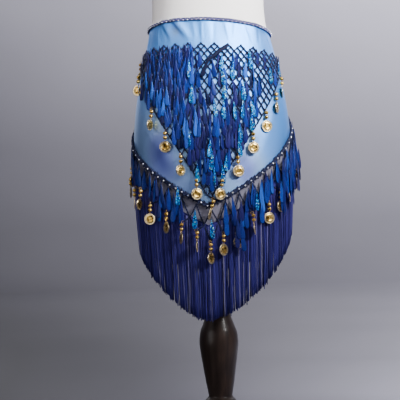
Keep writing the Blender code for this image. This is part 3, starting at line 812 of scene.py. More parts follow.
def make_fringe_yarn():
    finish = new_finish("fringe_yarn", (0.006, 0.006, 0.04), 0.60, Specular_IOR_Level=0.12)
    tint(finish, own_shade(finish), FRINGE_TONES)
    raise_surface(finish, noise(finish, places_on(finish, scale=(1, 1, 0.4)), 1400.0, 2.0), 0.0003, 0.5)
    return finish


def make_gold():
    finish = new_finish("gold_metal", (0.80, 0.52, 0.17), 0.27, Metallic=1.0)
    wear = noise(finish, places_on(finish), 260.0, 4.0)
    gold = colour_ramp(finish, wear, GOLD_TONES)
    pale = add_node(finish, "MixRGB", {"Fac": own_shade(finish), "Color1": gold, "Color2": PALE_GOLD})
    join_to_shader(finish, "Base Color", pale.outputs["Color"])
    roughen(finish, wear, 0.16, 0.42)
    raise_surface(finish, wear, 0.0003, 0.4)
    return finish


def make_paillette():
    finish = new_finish("blue_paillette", (0.01, 0.05, 0.30), 0.34, Specular_IOR_Level=0.35,
                        Specular_Tint=(0.35, 0.50, 1.0, 1.0))
    tint(finish, own_shade(finish), PAILLETTE_TONES)
    mottle = noise(finish, places_on(finish), 320.0, 2.0)
    roughen(finish, mottle, 0.22, 0.42)
    raise_surface(finish, mottle, 0.0004, 0.3)
    return finish


# A dull, dark paillette whose darkness is painted shade, for the folded sequin
def make_dull_paillette():
    return new_finish("dull_paillette", (0.0030, 0.0050, 0.026), 0.60, Specular_IOR_Level=0.10)


def make_foil():
    """Foil stamped with small facets, each with its own colour and slope."""
    finish = new_finish("faceted_foil", (0.06, 0.42, 0.85), 0.20, Metallic=0.75)
    facets = add_node(finish, "TexVoronoi", {"Vector": places_on(finish), "Scale": 540.0})
    value = add_node(finish, "SeparateColor", {"Color": facets.outputs["Color"]})
    tint(finish, value.outputs["Red"], FOIL_TONES)
    roughen(finish, value.outputs["Green"], 0.08, 0.38)
    raise_surface(finish, value.outputs["Blue"], 0.0008, 0.8)
    return finish


def make_silver():
    finish = new_finish("silver_bead", (0.80, 0.82, 0.90), 0.16, Metallic=0.7)
    tint(finish, noise(finish, places_on(finish), 180.0), SILVER_TONES)
    return finish


def finished(piece, finish):
    """Gives a piece its material and slot, and lets it go with the part's one body."""
    piece.data.materials.clear()
    piece.data.materials.append(finish)
    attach(piece, "root")
    return piece


# The stand and the form

# The turned pieces' outlines, from below: height, radius. The column's is a smooth curve through its marks
COLUMN_MARKS = (
    (0.0283, 0.0480), (0.0330, 0.0484), (0.0700, 0.0340), (0.1200, 0.0235), (0.1560, 0.0212),
    (0.1580, 0.0215), (0.1630, 0.0290), (0.1680, 0.0310), (0.1770, 0.0310), (0.1815, 0.0290),
    (0.1870, 0.0240), (0.1900, 0.0238), (0.2140, 0.0280), (0.2430, 0.0325), (0.2760, 0.0372),
    (0.2970, 0.0388), (0.3180, 0.0360), (0.3340, 0.0300), (0.3480, 0.0252), (0.3520, 0.0252),
    (0.3600, 0.0262), (0.3700, 0.0330), (0.3850, 0.0346), (0.3960, 0.0320), (0.4080, 0.0215),
    (0.4200, 0.0212), (0.4400, 0.0236), (0.4450, 0.0480), (0.4557, 0.0485),
)
BASE_PROFILE = (
    (0.0, 0.1978), (0.0010, 0.1992), (0.0024, 0.2000), (0.0100, 0.2000), (0.0112, 0.1994),
    (0.0120, 0.1980), (0.0132, 0.1973), (0.0170, 0.1950), (0.0205, 0.1910), (0.0232, 0.1855),
    (0.0252, 0.1780), (0.0264, 0.1690), (0.0270, 0.1660), (0.0278, 0.1650), (0.0280, 0.1630),
    (0.0280, 0.0700), (0.0282, 0.0500),
)
CAP_PROFILE = (
    (1.4783, 0.0535), (1.4788, 0.0543), (1.4800, 0.0545), (1.4842, 0.0545), (1.4856, 0.0541),
    (1.4866, 0.0526), (1.4885, 0.0490), (1.4920, 0.0455), (1.4950, 0.0385), (1.4975, 0.0290),
    (1.4990, 0.0200), (1.5000, 0.0080),
)


def make_stand(wood):
    base = finished(turned_piece("base", BASE_PROFILE, 128), wood)
    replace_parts(base, "stand_base")
    column = finished(turned_piece("column", profile_through(COLUMN_MARKS, 190), 96), wood)
    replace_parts(column, "stand_column")
    cap = finished(turned_piece("cap", CAP_PROFILE, 96), wood)
    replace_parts(cap, "neck_cap")


FORM_COLUMNS = 160
FORM_ROWS = 190
ROUNDING = 0.006            # of the form's lower rim and of its neck
# Painted shade on the form behind the fringe
UNDER_SHADE = 0.93          # how much darker the form is behind the fringe
# The painted shade starts this far above the hem and grows over this much, and so on at the fringe's tips and
# ends
UNDER_HEM = (0.006, 0.008)
UNDER_TIPS = (0.010, 0.020)
UNDER_ENDS = 0.045


def girths_of(points):
    """The girths at which points beside the form lie."""
    bearings = np.arctan2(points[:, 0], -points[:, 1])
    half_width, depth = form_section(bearings, np.maximum(points[:, 2], HIP_HEIGHT))
    angles = np.arctan2(points[:, 0] / half_width, -points[:, 1] / depth)
    return np.sign(angles) * np.interp(np.abs(angles), ANGLES, GIRTHS)


def make_form(jersey):
    bottom, top = FORM_SECTIONS[0][0], FORM_SECTIONS[-1][0]

    def place(across, down):
        angle = 2 * math.pi * across - math.pi
        height = top + (bottom - top) * down
        from_end = np.minimum(height - bottom, top - height)
        inset = 1 - np.clip(from_end / ROUNDING, 0.0, 1.0)
        points = on_form(angle, height, -ROUNDING * (1 - np.sqrt(1 - inset ** 2)))
        return points, (across * 2 * HALF_GIRTH, height)

    body = wrapped_sheet("torso", FORM_COLUMNS, FORM_ROWS, place)
    bpy.ops.object.mode_set(mode="EDIT")
    bpy.ops.mesh.select_all(action="SELECT")
    bpy.ops.mesh.remove_doubles(threshold=0.00001)
    bpy.ops.mesh.select_all(action="DESELECT")
    bpy.ops.mesh.select_mode(type="EDGE")
    bpy.ops.mesh.select_non_manifold()
    bpy.ops.mesh.edge_face_add()
    bpy.ops.mesh.select_all(action="SELECT")
    bpy.ops.mesh.fill_holes(sides=0)
    bpy.ops.mesh.normals_make_consistent(inside=False)
    bpy.ops.object.mode_set(mode="OBJECT")
    points = read_points(body.data)
    girths = girths_of(points)
    # Painted shade: where the fringe hangs in front of the form
    under_shade_mask = smooth_step((hem_height(girths) + UNDER_HEM[0] - points[:, 2]) / UNDER_HEM[1])
    from_tips = points[:, 2] - fringe_top(girths) + fringe_length(girths)
    under_shade_mask *= smooth_step((from_tips - UNDER_TIPS[0]) / UNDER_TIPS[1])
    under_shade_mask *= smooth_step((FRINGE_REACH - np.abs(girths)) / UNDER_ENDS)
    give_shades(body, UNDER_SHADE * under_shade_mask, 1)
    finished(body, jersey)
    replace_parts(body, "form_torso")


# The satin

CLOTH_COLUMNS = 420
CLOTH_ROWS = 64
# Painted shade: it is clear blue at the top and greyer lower down, where it catches less light
SATIN_GREY_FROM = 0.88
SATIN_GREY_OVER = 0.16
SATIN_GREY = 0.5
# Painted shade and reflection, darker and clearer places: girth, height, half width, half height, change
PAINTED_SATIN_SHADING = (
    (-0.108, 0.676, 0.024, 0.040, 0.44),
    (-0.088, 0.640, 0.026, 0.028, 0.28),
    (-0.050, 0.604, 0.030, 0.022, 0.12),
    (0.160, 0.755, 0.024, 0.080, -0.85),
    (0.060, 0.636, 0.028, 0.032, 0.36),
    (0.116, 0.700, 0.030, 0.060, -0.40),
    (-0.085, 0.909, 0.016, 0.014, 0.42),
)


def make_cloth(satin):
    reach = CLOTH_END + INTO_KNOT

    def place(across, down):
        girth = reach * (2 * across - 1)
        top, hem = top_height(girth), hem_height(girth)
        height = top + (hem - top) * down
        layer = CLOTH_OUTSIDE + crease_rise(girth, height)
        return on_cloth(girth, height, layer), (girth, height)

    cloth = wrapped_sheet("satin_triangle", CLOTH_COLUMNS, CLOTH_ROWS, place)
    thicken(cloth, CLOTH_THICKNESS, -1.0)
    points = read_points(cloth.data)
    girths = girths_of(points)
    # Painted shade greys the cloth lower down, and the patches add painted shade and reflection
    shades = SATIN_GREY * smooth_step((SATIN_GREY_FROM - points[:, 2]) / SATIN_GREY_OVER)
    for girth, height, half_width, half_height, change in PAINTED_SATIN_SHADING:
        shades += change * np.exp(-((girths - girth) / half_width) ** 2
                                  - ((points[:, 2] - height) / half_height) ** 2)
    give_shades(cloth, np.clip(shades, -0.5, 1.0), 1)
    finished(cloth, satin)
    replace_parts(cloth, "scarf_cloth")
    return cloth


KNOT_FULL = 0.94            # the ball's share of the knot's whole size, before its folds
KNOT_FOLDS = ((0.045, 7, 9), (0.025, 2, 13))    # rise, times round, turns down
BAND_WIDTH = 0.0085
BAND_LENGTH = 0.09
BAND_REACH = 0.53           # of the knot's size
BAND_RIDGES = (0.05, 2.5)   # rise and number
BAND_SPREAD = 0.35          # how much wider it is over the top and below
BAND_SLANT = 0.14


def make_knot(satin):
    """The knot: a ball of folded satin with one turn of the other end wrapped over it."""
    middle = hung(HALF_GIRTH, KNOT_HEIGHT, KNOT_LAYER)
    deselect_all()
    bpy.ops.mesh.primitive_uv_sphere_add(segments=64, ring_count=40, radius=0.5)
    ball = named(bpy.context.object, "knot")
    points = read_points(ball.data)
    turn = np.arctan2(points[:, 0], points[:, 1])
    folds = 1 + sum(rise * np.sin(times * turn + down * points[:, 2]) for rise, times, down in KNOT_FOLDS)
    write_points(ball.data, points * folds[:, None] * np.array(KNOT_SIZE) * KNOT_FULL + middle)
    ball.data.shade_smooth()
    finished(ball, satin)
    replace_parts(ball, "tie_knot")

    def place(across, down):
        angle = 2 * math.pi * down
        width = BAND_WIDTH * (across - 0.5)
        ridge = 1.0 + BAND_RIDGES[0] * np.cos(2 * math.pi * BAND_RIDGES[1] * across)
        y = KNOT_SIZE[1] * BAND_REACH * ridge * np.sin(angle)
        z = KNOT_SIZE[2] * BAND_REACH * ridge * np.cos(angle)
        x = width * (1 + BAND_SPREAD * np.cos(angle) ** 2) + BAND_SLANT * z
        return np.stack([x, y, z], axis=-1) + middle, (width, BAND_LENGTH * down)

    band = wrapped_sheet("knot_band", 14, 56, place)
    thicken(band, CLOTH_THICKNESS, 0.0)
    finished(band, satin)


# How a hanging end spreads: share down, breadth, stand
END_SECTIONS = (
    (0.00, 0.30, 0.0095),
    (0.12, 0.62, 0.0060),
    (0.35, 1.00, 0.0015),
    (0.70, 0.86, 0.0010),
    (0.90, 0.52, 0.0012),
    (1.00, 0.10, 0.0015),
)


END_TUCK = 0.004            # how far an end starts up inside the knot
END_FOLD = (0.0013, 3, 0.4)     # its lengthwise folds: rise, number, drift
END_CLEAR = 0.0006          # between its inner face and its layer
END_PARTING = 3             # how soon the two ends part, and how far they have done so at the knot
END_PARTED = 0.35


def make_tie_end(name, node, side, satin):
    top = KNOT_HEIGHT - KNOT_SIZE[2] / 2 + END_TUCK
    rise, folds, drift = END_FOLD

    def place(across, down):
        breadth, stand = np.moveaxis(smooth_values(END_SECTIONS, down), -1, 0)
        middle = HALF_GIRTH - side * END_SPREAD * smooth_step(down * END_PARTING + END_PARTED)
        girth = middle + (across - 0.5) * END_WIDTH * breadth
        folded = rise * (1 - down) * (1 + np.cos(2 * math.pi * (folds * across + drift * down)))
        height = top - (END_LENGTH + END_TUCK) * down
        return hung(girth, height, END_LAYER + stand + END_CLEAR + folded), (girth, height)

    end = wrapped_sheet(name, 30, 90, place)
    thicken(end, CLOTH_THICKNESS, 1.0)
    finished(end, satin)
    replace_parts(end, node)


# The braids

TOP_BRAID_DROP = 0.0010     # how far the top braid's middle lies below the cloth's edge
# The plaits: wave's length, swing up and down, swing out, the yarns' radius, the layer
TOP_PLAIT = (0.0105, 0.0020, 0.0006, 0.0017, 0.0044)
HEM_PLAIT = (0.0120, 0.0023, 0.0006, 0.0020, 0.0048)
PLAIT_STEPS = 9             # in a wave
# The beads along them: radius, flatness, pitch, layer, swing up and down, unevenness
TOP_BEADS = (0.0015, 0.9, 0.0056, 0.0066, 0.0019, 0.0003)
HEM_BEADS = (0.0019, 1.0, 0.0120, 0.0072, 0.0, 0.0006)
# The picots, short loops of yarn along the hem
PICOT_START = 0.003
PICOT_PITCH = 0.0044
PICOT_LENGTHS = (0.0056, 0.0090)
PICOT_LEAN = 0.0030
PICOT_RADII = (0.0018, 0.0022, 0.0017, 0.0006)
PICOT_LAYER = 0.0050
PICOT_OUTWARD = 0.0012


def braid_edge(girth):
    return top_height(girth) - TOP_BRAID_DROP


def alternate(count):
    """-1 and 1 by turns."""
    return np.where(np.arange(count) % 2, 1, -1)


def plait(name, edge, sizes, finish):
    """Three yarns plaited along an edge of the cloth."""
    wave, height_swing, out_swing, radius, layer = sizes
    girths = np.linspace(-CLOTH_END, CLOTH_END, int(2 * CLOTH_END / wave * PLAIT_STEPS))
    phases = [2 * math.pi * (girths / wave + strand / 3) for strand in range(3)]
    paths = np.stack([on_cloth(girths, edge(girths) + height_swing * np.sin(phase),
                               layer + out_swing * np.sin(2 * phase)) for phase in phases])
    return finished(tubes(name, paths, radius, CORD_SIDES), finish)


def sew_beads(name, edge, sizes, finish):
    """Beads evenly along an edge of the cloth."""
    radius, flatness, pitch, layer, swing, uneven = sizes
    deselect_all()
    bpy.ops.mesh.primitive_uv_sphere_add(segments=8, ring_count=6, radius=radius)
    bead = bpy.context.object
    write_points(bead.data, read_points(bead.data) * (1.0, 1.0, flatness))
    girths = np.arange(-CLOTH_END + pitch * 0.5, CLOTH_END, pitch)
    count = len(girths)
    points = on_cloth(girths, edge(girths), layer)
    points[:, 2] += swing * alternate(count) + chance.normal(0, uneven, count)
    finished(joined_copies(name, bead, hanging_frames(girths, points)), finish)
    remove_model(bead)


def make_braids(yarn, violet, silver):
    top = plait("top_plait", braid_edge, TOP_PLAIT, violet)
    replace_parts(top, "top_braid")
    hem = plait("hem_plait", hem_height, HEM_PLAIT, yarn)
    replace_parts(hem, "hem_braid")
    sew_beads("top_beads", braid_edge, TOP_BEADS, silver)
    sew_beads("hem_beads", hem_height, HEM_BEADS, silver)

    places = np.arange(-CLOTH_END + PICOT_START, CLOTH_END, PICOT_PITCH)[:, None]
    lengths = alternate(len(places))[:, None] * chance.uniform(*PICOT_LENGTHS, places.shape)
    leans = chance.uniform(-PICOT_LEAN, PICOT_LEAN, places.shape)
    share = np.linspace(0, 1, len(PICOT_RADII))
    girths = places + leans * share
    paths = on_cloth(girths, hem_height(girths) + lengths * share, PICOT_LAYER + PICOT_OUTWARD * share)
    finished(tubes("picots", paths, np.array(PICOT_RADII), YARN_SIDES), yarn)
    return top, hem


# The nets

def net_depth(row):
    sag = NET_SAG * math.exp(-((row - NET_SAG_ROW) / NET_SAG_ROWS) ** 2) if 0 < row < NET_ROWS else 0.0
    return NET_DEPTH * (row / NET_ROWS) ** NET_STRETCH + sag


def net_place(row, column):
    """The girth and height of a knot of the upper net."""
    meshes = NET_ROWS - row
    half = NET_HALF_GIRTH * (1 - (net_depth(row) / NET_DEPTH) ** NET_NARROWING)
    middle = NET_CENTRE + NET_DRIFT * row / NET_ROWS
    girth = NET_TIP if meshes == 0 else middle - half + 2 * half * column / meshes
    return girth, float(top_height(girth)) - NET_DROP - net_depth(row)


def loop_place(row, place):
    """The girth and height of a knot of the lower net, places counted in half meshes."""
    girth = LOOP_CENTRE + LOOP_PITCH * place / 2
    fall = LOOP_ROWS[row][0]
    in_front = place // 2 + len(FRONT_LOOPS) // 2
    if row == 2 and 0 <= in_front < len(FRONT_LOOPS):
        fall, shift = FRONT_LOOPS[in_front]
        girth += shift
    return girth, float(hem_height(girth)) - fall


def yarn_paths(lines, surface, steps, sag):
    """Yarn from knot to knot, given as (girth, height, layer) ends, sagging a little to one side."""
    share = np.linspace(0, 1, steps)
    ends = np.array(lines)
    girth, height, layer = (ends[:, 0, i, None] * (1 - share) + ends[:, 1, i, None] * share for i in range(3))
    bow = sag * np.sin(math.pi * share) * np.sign(ends[:, 1, 0] - ends[:, 0, 0])[:, None]
    return surface(girth - bow * 0.5, height - abs(bow), layer)


def knot_net(name, lines, knots, surface, sizes, yarn):
    """A net's twisted yarn along its lines, with a knot wherever they meet."""
    steps, sag, turns, knot_radius = sizes
    plies = twisted(yarn_paths(lines, surface, steps, sag), NET_YARN, turns)
    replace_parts(finished(tubes(name + "_yarn", plies, NET_YARN, YARN_SIDES), yarn), name)
    deselect_all()
    bpy.ops.mesh.primitive_ico_sphere_add(subdivisions=2, radius=knot_radius)
    knot = bpy.context.object
    girth, height, layer = np.array(knots).T
    frames = hanging_frames(girth, surface(girth, height, layer))
    finished(joined_copies(name + "_knots", knot, frames), yarn)
    remove_model(knot)


# The nets' yarn: points along a line, sag, turns of its plies, the knots' radius
UPPER_NET_YARN = (8, 0.0006, 2, 0.0019)
LOWER_NET_YARN = (17, 0.0008, 4, 0.0020)


def make_upper_net(yarn):
    """Each mesh is crossed into four by finer yarn, except along the top row."""
    lines, knots = [], []
    step = 1 / NET_SPLIT
    for row in np.arange(0, NET_ROWS + step / 2, step):
        last = NET_ROWS - row
        for column in np.arange(0, last + step / 2, 1 if row == 0 else step):
            here = (*net_place(row, column), NET_LAYER)
            knots.append(here)
            if row < NET_ROWS:
                beside = [other for other in (column - step, column) if 0 <= other <= last - step]
                lines += [(here, (*net_place(row + step, other), NET_LAYER)) for other in beside]
    knot_net("upper_net", lines, knots, on_cloth, UPPER_NET_YARN, yarn)


def make_lower_net(yarn):
    lines, knots = [], []
    reach = 2 * LOOP_SIDE_COUNT

    def knot(row, place):
        return (*loop_place(row, place), LOOP_ROWS[row][1])

    for place in range(-reach, reach + 1, 2):
        knots += [knot(0, place), knot(2, place), knot(1, place + 1)]
        for side in (-1, 1):
            lines.append((knot(0, place), knot(1, place + side)))
            lines.append((knot(1, place + side), knot(2, place)))
    knot_net("lower_net", lines, knots, hung, LOWER_NET_YARN, yarn)


# The drops: two beads over a coin

def select_faces(piece, chosen):
    """Leaves edit mode's selection at the faces that a test picks."""
    bpy.ops.mesh.select_all(action="DESELECT")
    bpy.ops.object.mode_set(mode="OBJECT")
    for face in piece.data.polygons:
        face.select = chosen(face)
    bpy.ops.object.mode_set(mode="EDIT")
    bpy.ops.mesh.select_mode(type="FACE")


# The coin's relief: each step in from its rim, how wide and how far it rises
COIN_STEPS = (
    (0.0011, -0.00030),
    (0.0034, 0.0),
    (0.0005, 0.00035),
    (0.0006, 0.0),
    (0.0004, -0.00030),
    (0.0030, 0.00045),
)
# Its dots and its petals: number, how far round the first stands, reach, length, width
COIN_MARKS = (
    (20, 0.0, 0.0087, 0.00068, 0.00068),
    (8, 0.5, 0.0062, 0.0014, 0.0008),
)
MARK_SINK = 0.0003          # how far below the rim the marks stand
MARK_THICKNESS = 0.0005
# The wire rings over the beads and over the coin: fall, back, radius
RINGS = (
    (-0.0002, 0.0020, 0.0024),
    (0.0195, 0.0, 0.0016),
)
WIRE_RADIUS = 0.0004
BEAD_FLATNESS = 0.94
# The coins' rims are paler: from this far out, over this much
RIM_FROM = 0.0066
RIM_OVER = 0.0020
RIM_PALE = 0.75


def model_coin():
    """A coin that faces -Y, stamped on both sides with a rim, a ring of dots and a rosette."""
    deselect_all()
    bpy.ops.mesh.primitive_cylinder_add(vertices=32, radius=COIN_RADIUS, depth=COIN_THICKNESS,
                                        rotation=(math.pi / 2, 0, 0))
    coin = bpy.context.object
    bpy.ops.object.transform_apply(location=False, rotation=True, scale=False)
    bpy.ops.object.mode_set(mode="EDIT")
    for side in (-1, 1):
        select_faces(coin, lambda face: face.normal.y * side > 0.9)
        for width, rise in COIN_STEPS:
            bpy.ops.mesh.inset(thickness=width, depth=rise)
    bpy.ops.object.mode_set(mode="OBJECT")
    marks = [(side, 2 * math.pi * (mark + first) / number, reach, long, wide) for side in (-1, 1)
             for number, first, reach, long, wide in COIN_MARKS for mark in range(number)]
    parts = [coin]
    for side, angle, reach, long, wide in marks:
        deselect_all()
        bpy.ops.mesh.primitive_ico_sphere_add(subdivisions=1, radius=1.0)
        mark = bpy.context.object
        mark.scale = (long, MARK_THICKNESS, wide)
        mark.rotation_euler = (0, -angle, 0)
        mark.location = (reach * math.cos(angle), side * (COIN_THICKNESS / 2 - MARK_SINK),
                         reach * math.sin(angle))
        parts.append(mark)
    return join_parts(parts)


def model_drop():
    """A whole drop that hangs from the origin and faces -Y."""
    coin = model_coin()
    write_points(coin.data, read_points(coin.data) + (0, 0, -COIN_FALL))
    parts = [coin]
    for fall in BEAD_FALLS:
        deselect_all()
        bpy.ops.mesh.primitive_uv_sphere_add(segments=20, ring_count=12, radius=BEAD_RADIUS,
                                             location=(0, 0, -fall))
        bead = bpy.context.object
        bead.scale = (1.0, 1.0, BEAD_FLATNESS)
        parts.append(bead)
    for fall, back, radius in RINGS:
        deselect_all()
        bpy.ops.mesh.primitive_torus_add(major_segments=16, minor_segments=6, major_radius=radius,
                                         minor_radius=WIRE_RADIUS, location=(0, back, -fall),
                                         rotation=(math.pi / 2, 0, math.pi / 2))
        parts.append(bpy.context.object)
    drop = join_parts(parts)
    smooth_but_sharp(drop, 40)
    return drop


def hang_drop(name, model, girth, height, layer, gold, turn, covered=False):
    yaw, lean = turn or (chance.uniform(-RANDOM_TURN, RANDOM_TURN), chance.uniform(-RANDOM_LEAN, RANDOM_LEAN))
    points = hung(np.array([girth]), np.array([height]), layer + COIN_STAND)
    tilt = 0.0 if covered else TURNED_TILT * math.sin(yaw) ** 2
    hanging = hanging_frames([girth], points, lean=lean, tilt=tilt, yaw=yaw)
    drop = finished(joined_copies(name + "_drop", model, hanging), gold)
    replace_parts(drop, name)
    points = read_points(model.data)
    reach = np.hypot(points[:, 0], points[:, 2] + COIN_FALL)
    rims = smooth_step((reach - RIM_FROM) / RIM_OVER) * (reach < COIN_RADIUS * 1.01)
    give_shades(drop, RIM_PALE * rims, 1)


def make_drops(gold):
    """Hangs all the drops and returns the places where they hang."""
    model = model_drop()
    places = []
    hangs = [(NET_ROWS, 0, TIP_DROP_STAND)]
    hangs += [(row, 0, 0.0) for row in UPPER_DROP_ROWS_LEFT]
    hangs += [(row, NET_ROWS - row, 0.0) for row in UPPER_DROP_ROWS_RIGHT]
    for count, (row, column, stand) in enumerate(hangs, 1):
        girth, height = net_place(row, column)
        layer = DROP_LAYER + float(cloth_rise(girth, height)) + stand
        hang_drop(f"coin_upper_{count:02d}", model, girth, height, layer, gold, UPPER_TURNS.get(count))
        places.append((girth, height))
    for count, place in enumerate(range(-LOOP_SIDE_COUNT, LOOP_SIDE_COUNT + 1), 1):
        girth, height = loop_place(2, 2 * place)
        hang_drop(f"coin_lower_{count:02d}", model, girth, height, LOWER_DROP_LAYER, gold,
                  LOWER_TURNS.get(count), count in COVERED_DROPS)
        places.append((girth, height))
    remove_model(model)
    return np.array(places)


# The sequins

def model_sequin():
    """A flat drop-shaped sequin that hangs from its narrow end at the origin and faces -Y."""
    deselect_all()
    bpy.ops.mesh.primitive_circle_add(vertices=14, radius=1.0, fill_type="NGON",
                                      rotation=(math.pi / 2, 0, 0))
    sequin = bpy.context.object
    bpy.ops.object.transform_apply(location=False, rotation=True, scale=False)
    points = read_points(sequin.data)
    angle = np.arctan2(points[:, 0], -points[:, 2])
    down = (1 + np.cos(angle)) / 2
    taper = SEQUIN_NECK + (1 - SEQUIN_NECK) * down ** SEQUIN_TAPER
    half = SEQUIN_WIDTH / 2 * taper * np.abs(np.sin(angle)) ** SEQUIN_ROUND * SEQUIN_FULL
    points[:, 0] = np.sign(np.sin(angle)) * np.minimum(half, SEQUIN_WIDTH / 2)
    points[:, 1] = 0.0
    points[:, 2] = -SEQUIN_LENGTH * down
    write_points(sequin.data, points)
    bpy.ops.object.mode_set(mode="EDIT")
    bpy.ops.mesh.select_all(action="SELECT")
    bpy.ops.mesh.extrude_region_move(TRANSFORM_OT_translate={"value": (0, -SEQUIN_THICKNESS, 0)})
    bpy.ops.mesh.inset(thickness=SEQUIN_EDGE, depth=SEQUIN_DOME)
    bpy.ops.mesh.select_all(action="SELECT")
    bpy.ops.mesh.normals_make_consistent(inside=False)
    bpy.ops.object.mode_set(mode="OBJECT")
    smooth_but_sharp(sequin, 40)
    return sequin


# Foil sequins of the upper net in front: girth and height of their lower ends
FOIL_ENDS = (
    (0.0262, 0.8231), (0.0242, 0.7961), (0.0488, 0.8092), (-0.0448, 0.8121), (-0.0383, 0.7656),
    (0.0047, 0.7371), (0.0229, 0.7327), (0.0423, 0.7303), (0.0646, 0.7685), (0.0614, 0.7329),
    (0.0755, 0.7087), (0.0777, 0.7356), (0.0883, 0.8288), (-0.0459, 0.6818), (-0.0052, 0.6592),
    (0.0501, 0.6881), (0.0469, 0.6595), (0.0245, 0.6316), (-0.0301, 0.6125), (0.0005, 0.6067),
    (0.0154, 0.6090), (-0.0017, 0.6362), (0.0260, 0.7700), (0.1350, 0.8000), (-0.1850, 0.7900),
    (0.1750, 0.8100),
)
LOWER_FOIL_ENDS = (
    (-0.0370, 0.5250), (-0.0081, 0.5051), (0.0792, 0.5553), (-0.0684, 0.5699), (0.2100, 0.6400),
    (-0.2400, 0.6600), (0.3000, 0.7000), (-0.3150, 0.7050),
)
# A long one, folded over the net's yarn and dark with painted shade: share along it, girth, height, half
# width
FOLDED_SEQUIN = (
    (0.00, 0.0425, 0.8760, 0.0006),
    (0.08, 0.0385, 0.8738, 0.0034),
    (0.30, 0.0210, 0.8640, 0.0042),
    (0.52, 0.0000, 0.8500, 0.0030),
    (0.60, -0.0055, 0.8440, 0.0026),
    (0.80, -0.0125, 0.8300, 0.0042),
    (0.94, -0.0165, 0.8195, 0.0050),
    (1.00, -0.0180, 0.8155, 0.0022),
)
FOLDED_LAYER = 0.0125
FOLDED_AHEAD = 0.02         # the share of it, forwards and back, over which its direction is read
# The lowest that sequins of the upper net reach, by girth
SEQUIN_LIMITS = (
    (-0.250, 0.808), (-0.195, 0.782), (-0.156, 0.778), (-0.102, 0.727), (-0.044, 0.642), (-0.008, 0.590),
    (0.040, 0.650), (0.076, 0.711), (0.111, 0.769), (0.142, 0.789), (0.250, 0.840),
)
LIMIT_LEEWAY = 0.014        # a sequin is moved up by this much at most to keep the limit
SEQUIN_LAYER = 0.0064
DROP_ROOM = (0.0135, 0.046)  # beside a drop and below where it hangs


def make_folded_sequin(finish):
    def place(across, down):
        girth, height, half_width = np.moveaxis(smooth_values(FOLDED_SEQUIN, down), -1, 0)
        ahead = (smooth_values(FOLDED_SEQUIN, down + FOLDED_AHEAD)
                 - smooth_values(FOLDED_SEQUIN, down - FOLDED_AHEAD))
        along = ahead[:, :2] / np.linalg.norm(ahead[:, :2], axis=-1, keepdims=True)
        aside = (2 * across - 1) * half_width
        girth, height = girth - aside * along[:, 1], height + aside * along[:, 0]
        return on_cloth(girth, height, FOLDED_LAYER), (across, down)

    strip = wrapped_sheet("folded_sequin", 5, 44, place)
    thicken(strip, SEQUIN_THICKNESS, 1.0)
    finished(strip, finish)


# How unevenly sequins hang
SEQUIN_LEAN = 0.07
SEQUIN_TILT = 0.05
SEQUIN_TURN = 0.26
SEQUIN_SIZES = (0.95, 1.05)
SEQUIN_TONE = (0.60, 0.18)  # their middle shade and how far they stray from it


def sequin_lot(name, model, finish, places, layers, surface, dark=0.0, larger=1.0):
    """Hangs a lot of sequins by their narrow ends, each a little askew."""
    girths, heights = np.array(places).T
    count = len(girths)
    lean = chance.normal(0, SEQUIN_LEAN, count)
    tilt = chance.uniform(0.0, SEQUIN_TILT, count)
    yaw = chance.normal(0, SEQUIN_TURN, count)
    size = larger * chance.uniform(*SEQUIN_SIZES, count)
    frames = hanging_frames(girths, surface(girths, heights, layers), lean, tilt, yaw, size)
    # dark lowers each sequin's shade; callers give it painted shade beneath other sequins and at the sides
    shades = np.clip(chance.normal(*SEQUIN_TONE, count) - dark, 0, 1)
    finished(joined_copies(name, model, frames, shades), finish)


def clear_of_drops(girth, height, drops):
    beside, below = DROP_ROOM
    end = height - SEQUIN_LENGTH
    near = (np.abs(drops[:, 0] - girth) < beside) & (end < drops[:, 1]) & (height > drops[:, 1] - below)
    return not near.any()


# The share of places that carry sequins, by depth below the net's top row, in the middle and on the right
FULL_COVER_GIRTH = -0.030   # left of this all of them do
MIDDLE_COVER = ((0.0, 0.080, 0.115), (0.20, 0.50, 1.0))
RIGHT_COVER = ((0.0, 0.050, 0.085, 0.115), (0.20, 0.62, 0.95, 1.0))
RIGHT_GIRTH = 0.030
FAR_COVER = ((0.110, 0.150), (0.0, 0.85))   # at least this much, by girth, at the net's right end
FAR_TOP = (0.012, 0.4)      # down to this depth only this share of that
# Where sequins hang beside a knot of the net: four where all places carry them, or else two
ASIDES = (-0.0110, -0.0040, 0.0035, 0.0105)
FEWER_ASIDES = (-0.0060, 0.0050)
ASIDE_STRAY = 0.0012
KNOT_RISE = 0.002           # above the knot at most, and below that by up to
KNOT_FALL = 0.007
# Upper sequins lie one over another; those beneath are darkened with painted shade, and those on top painted
# lighter
OVERLAP = 0.0034
FEW_ON_TOP = 1.5            # the greater, the fewer lie on top
FOIL_OVER = 0.0036
UNDER_PAINTED_SHADE = 0.30
OVER_PAINTED_LIGHT = 0.55
# Painted shade: sequins past this girth, where the form turns away, are darker
SIDE_GIRTH = 0.13           # past this girth sequins are darker
UPPER_SIDE_SHADE = 0.15
LOWER_SIDE_SHADE = 0.12
MIDDLE_DARK = (0.02, 0.05, 0.11)    # so are upper ones round this girth: middle, half width, how much


def cover_at(girth, depth):
    """The share of places on the upper net that carry sequins, depth counted from its top row."""
    if girth < FULL_COVER_GIRTH:
        return 1.0
    cover = np.interp(depth, *(MIDDLE_COVER if girth < RIGHT_GIRTH else RIGHT_COVER))
    far = np.interp(girth, *FAR_COVER)
    return max(cover, far if depth > FAR_TOP[0] else FAR_TOP[1] * far)


def hung_by(foil_ends):
    """Where foil sequins hang, from the places of their lower ends."""
    return [(girth, end + SEQUIN_LENGTH) for girth, end in foil_ends]


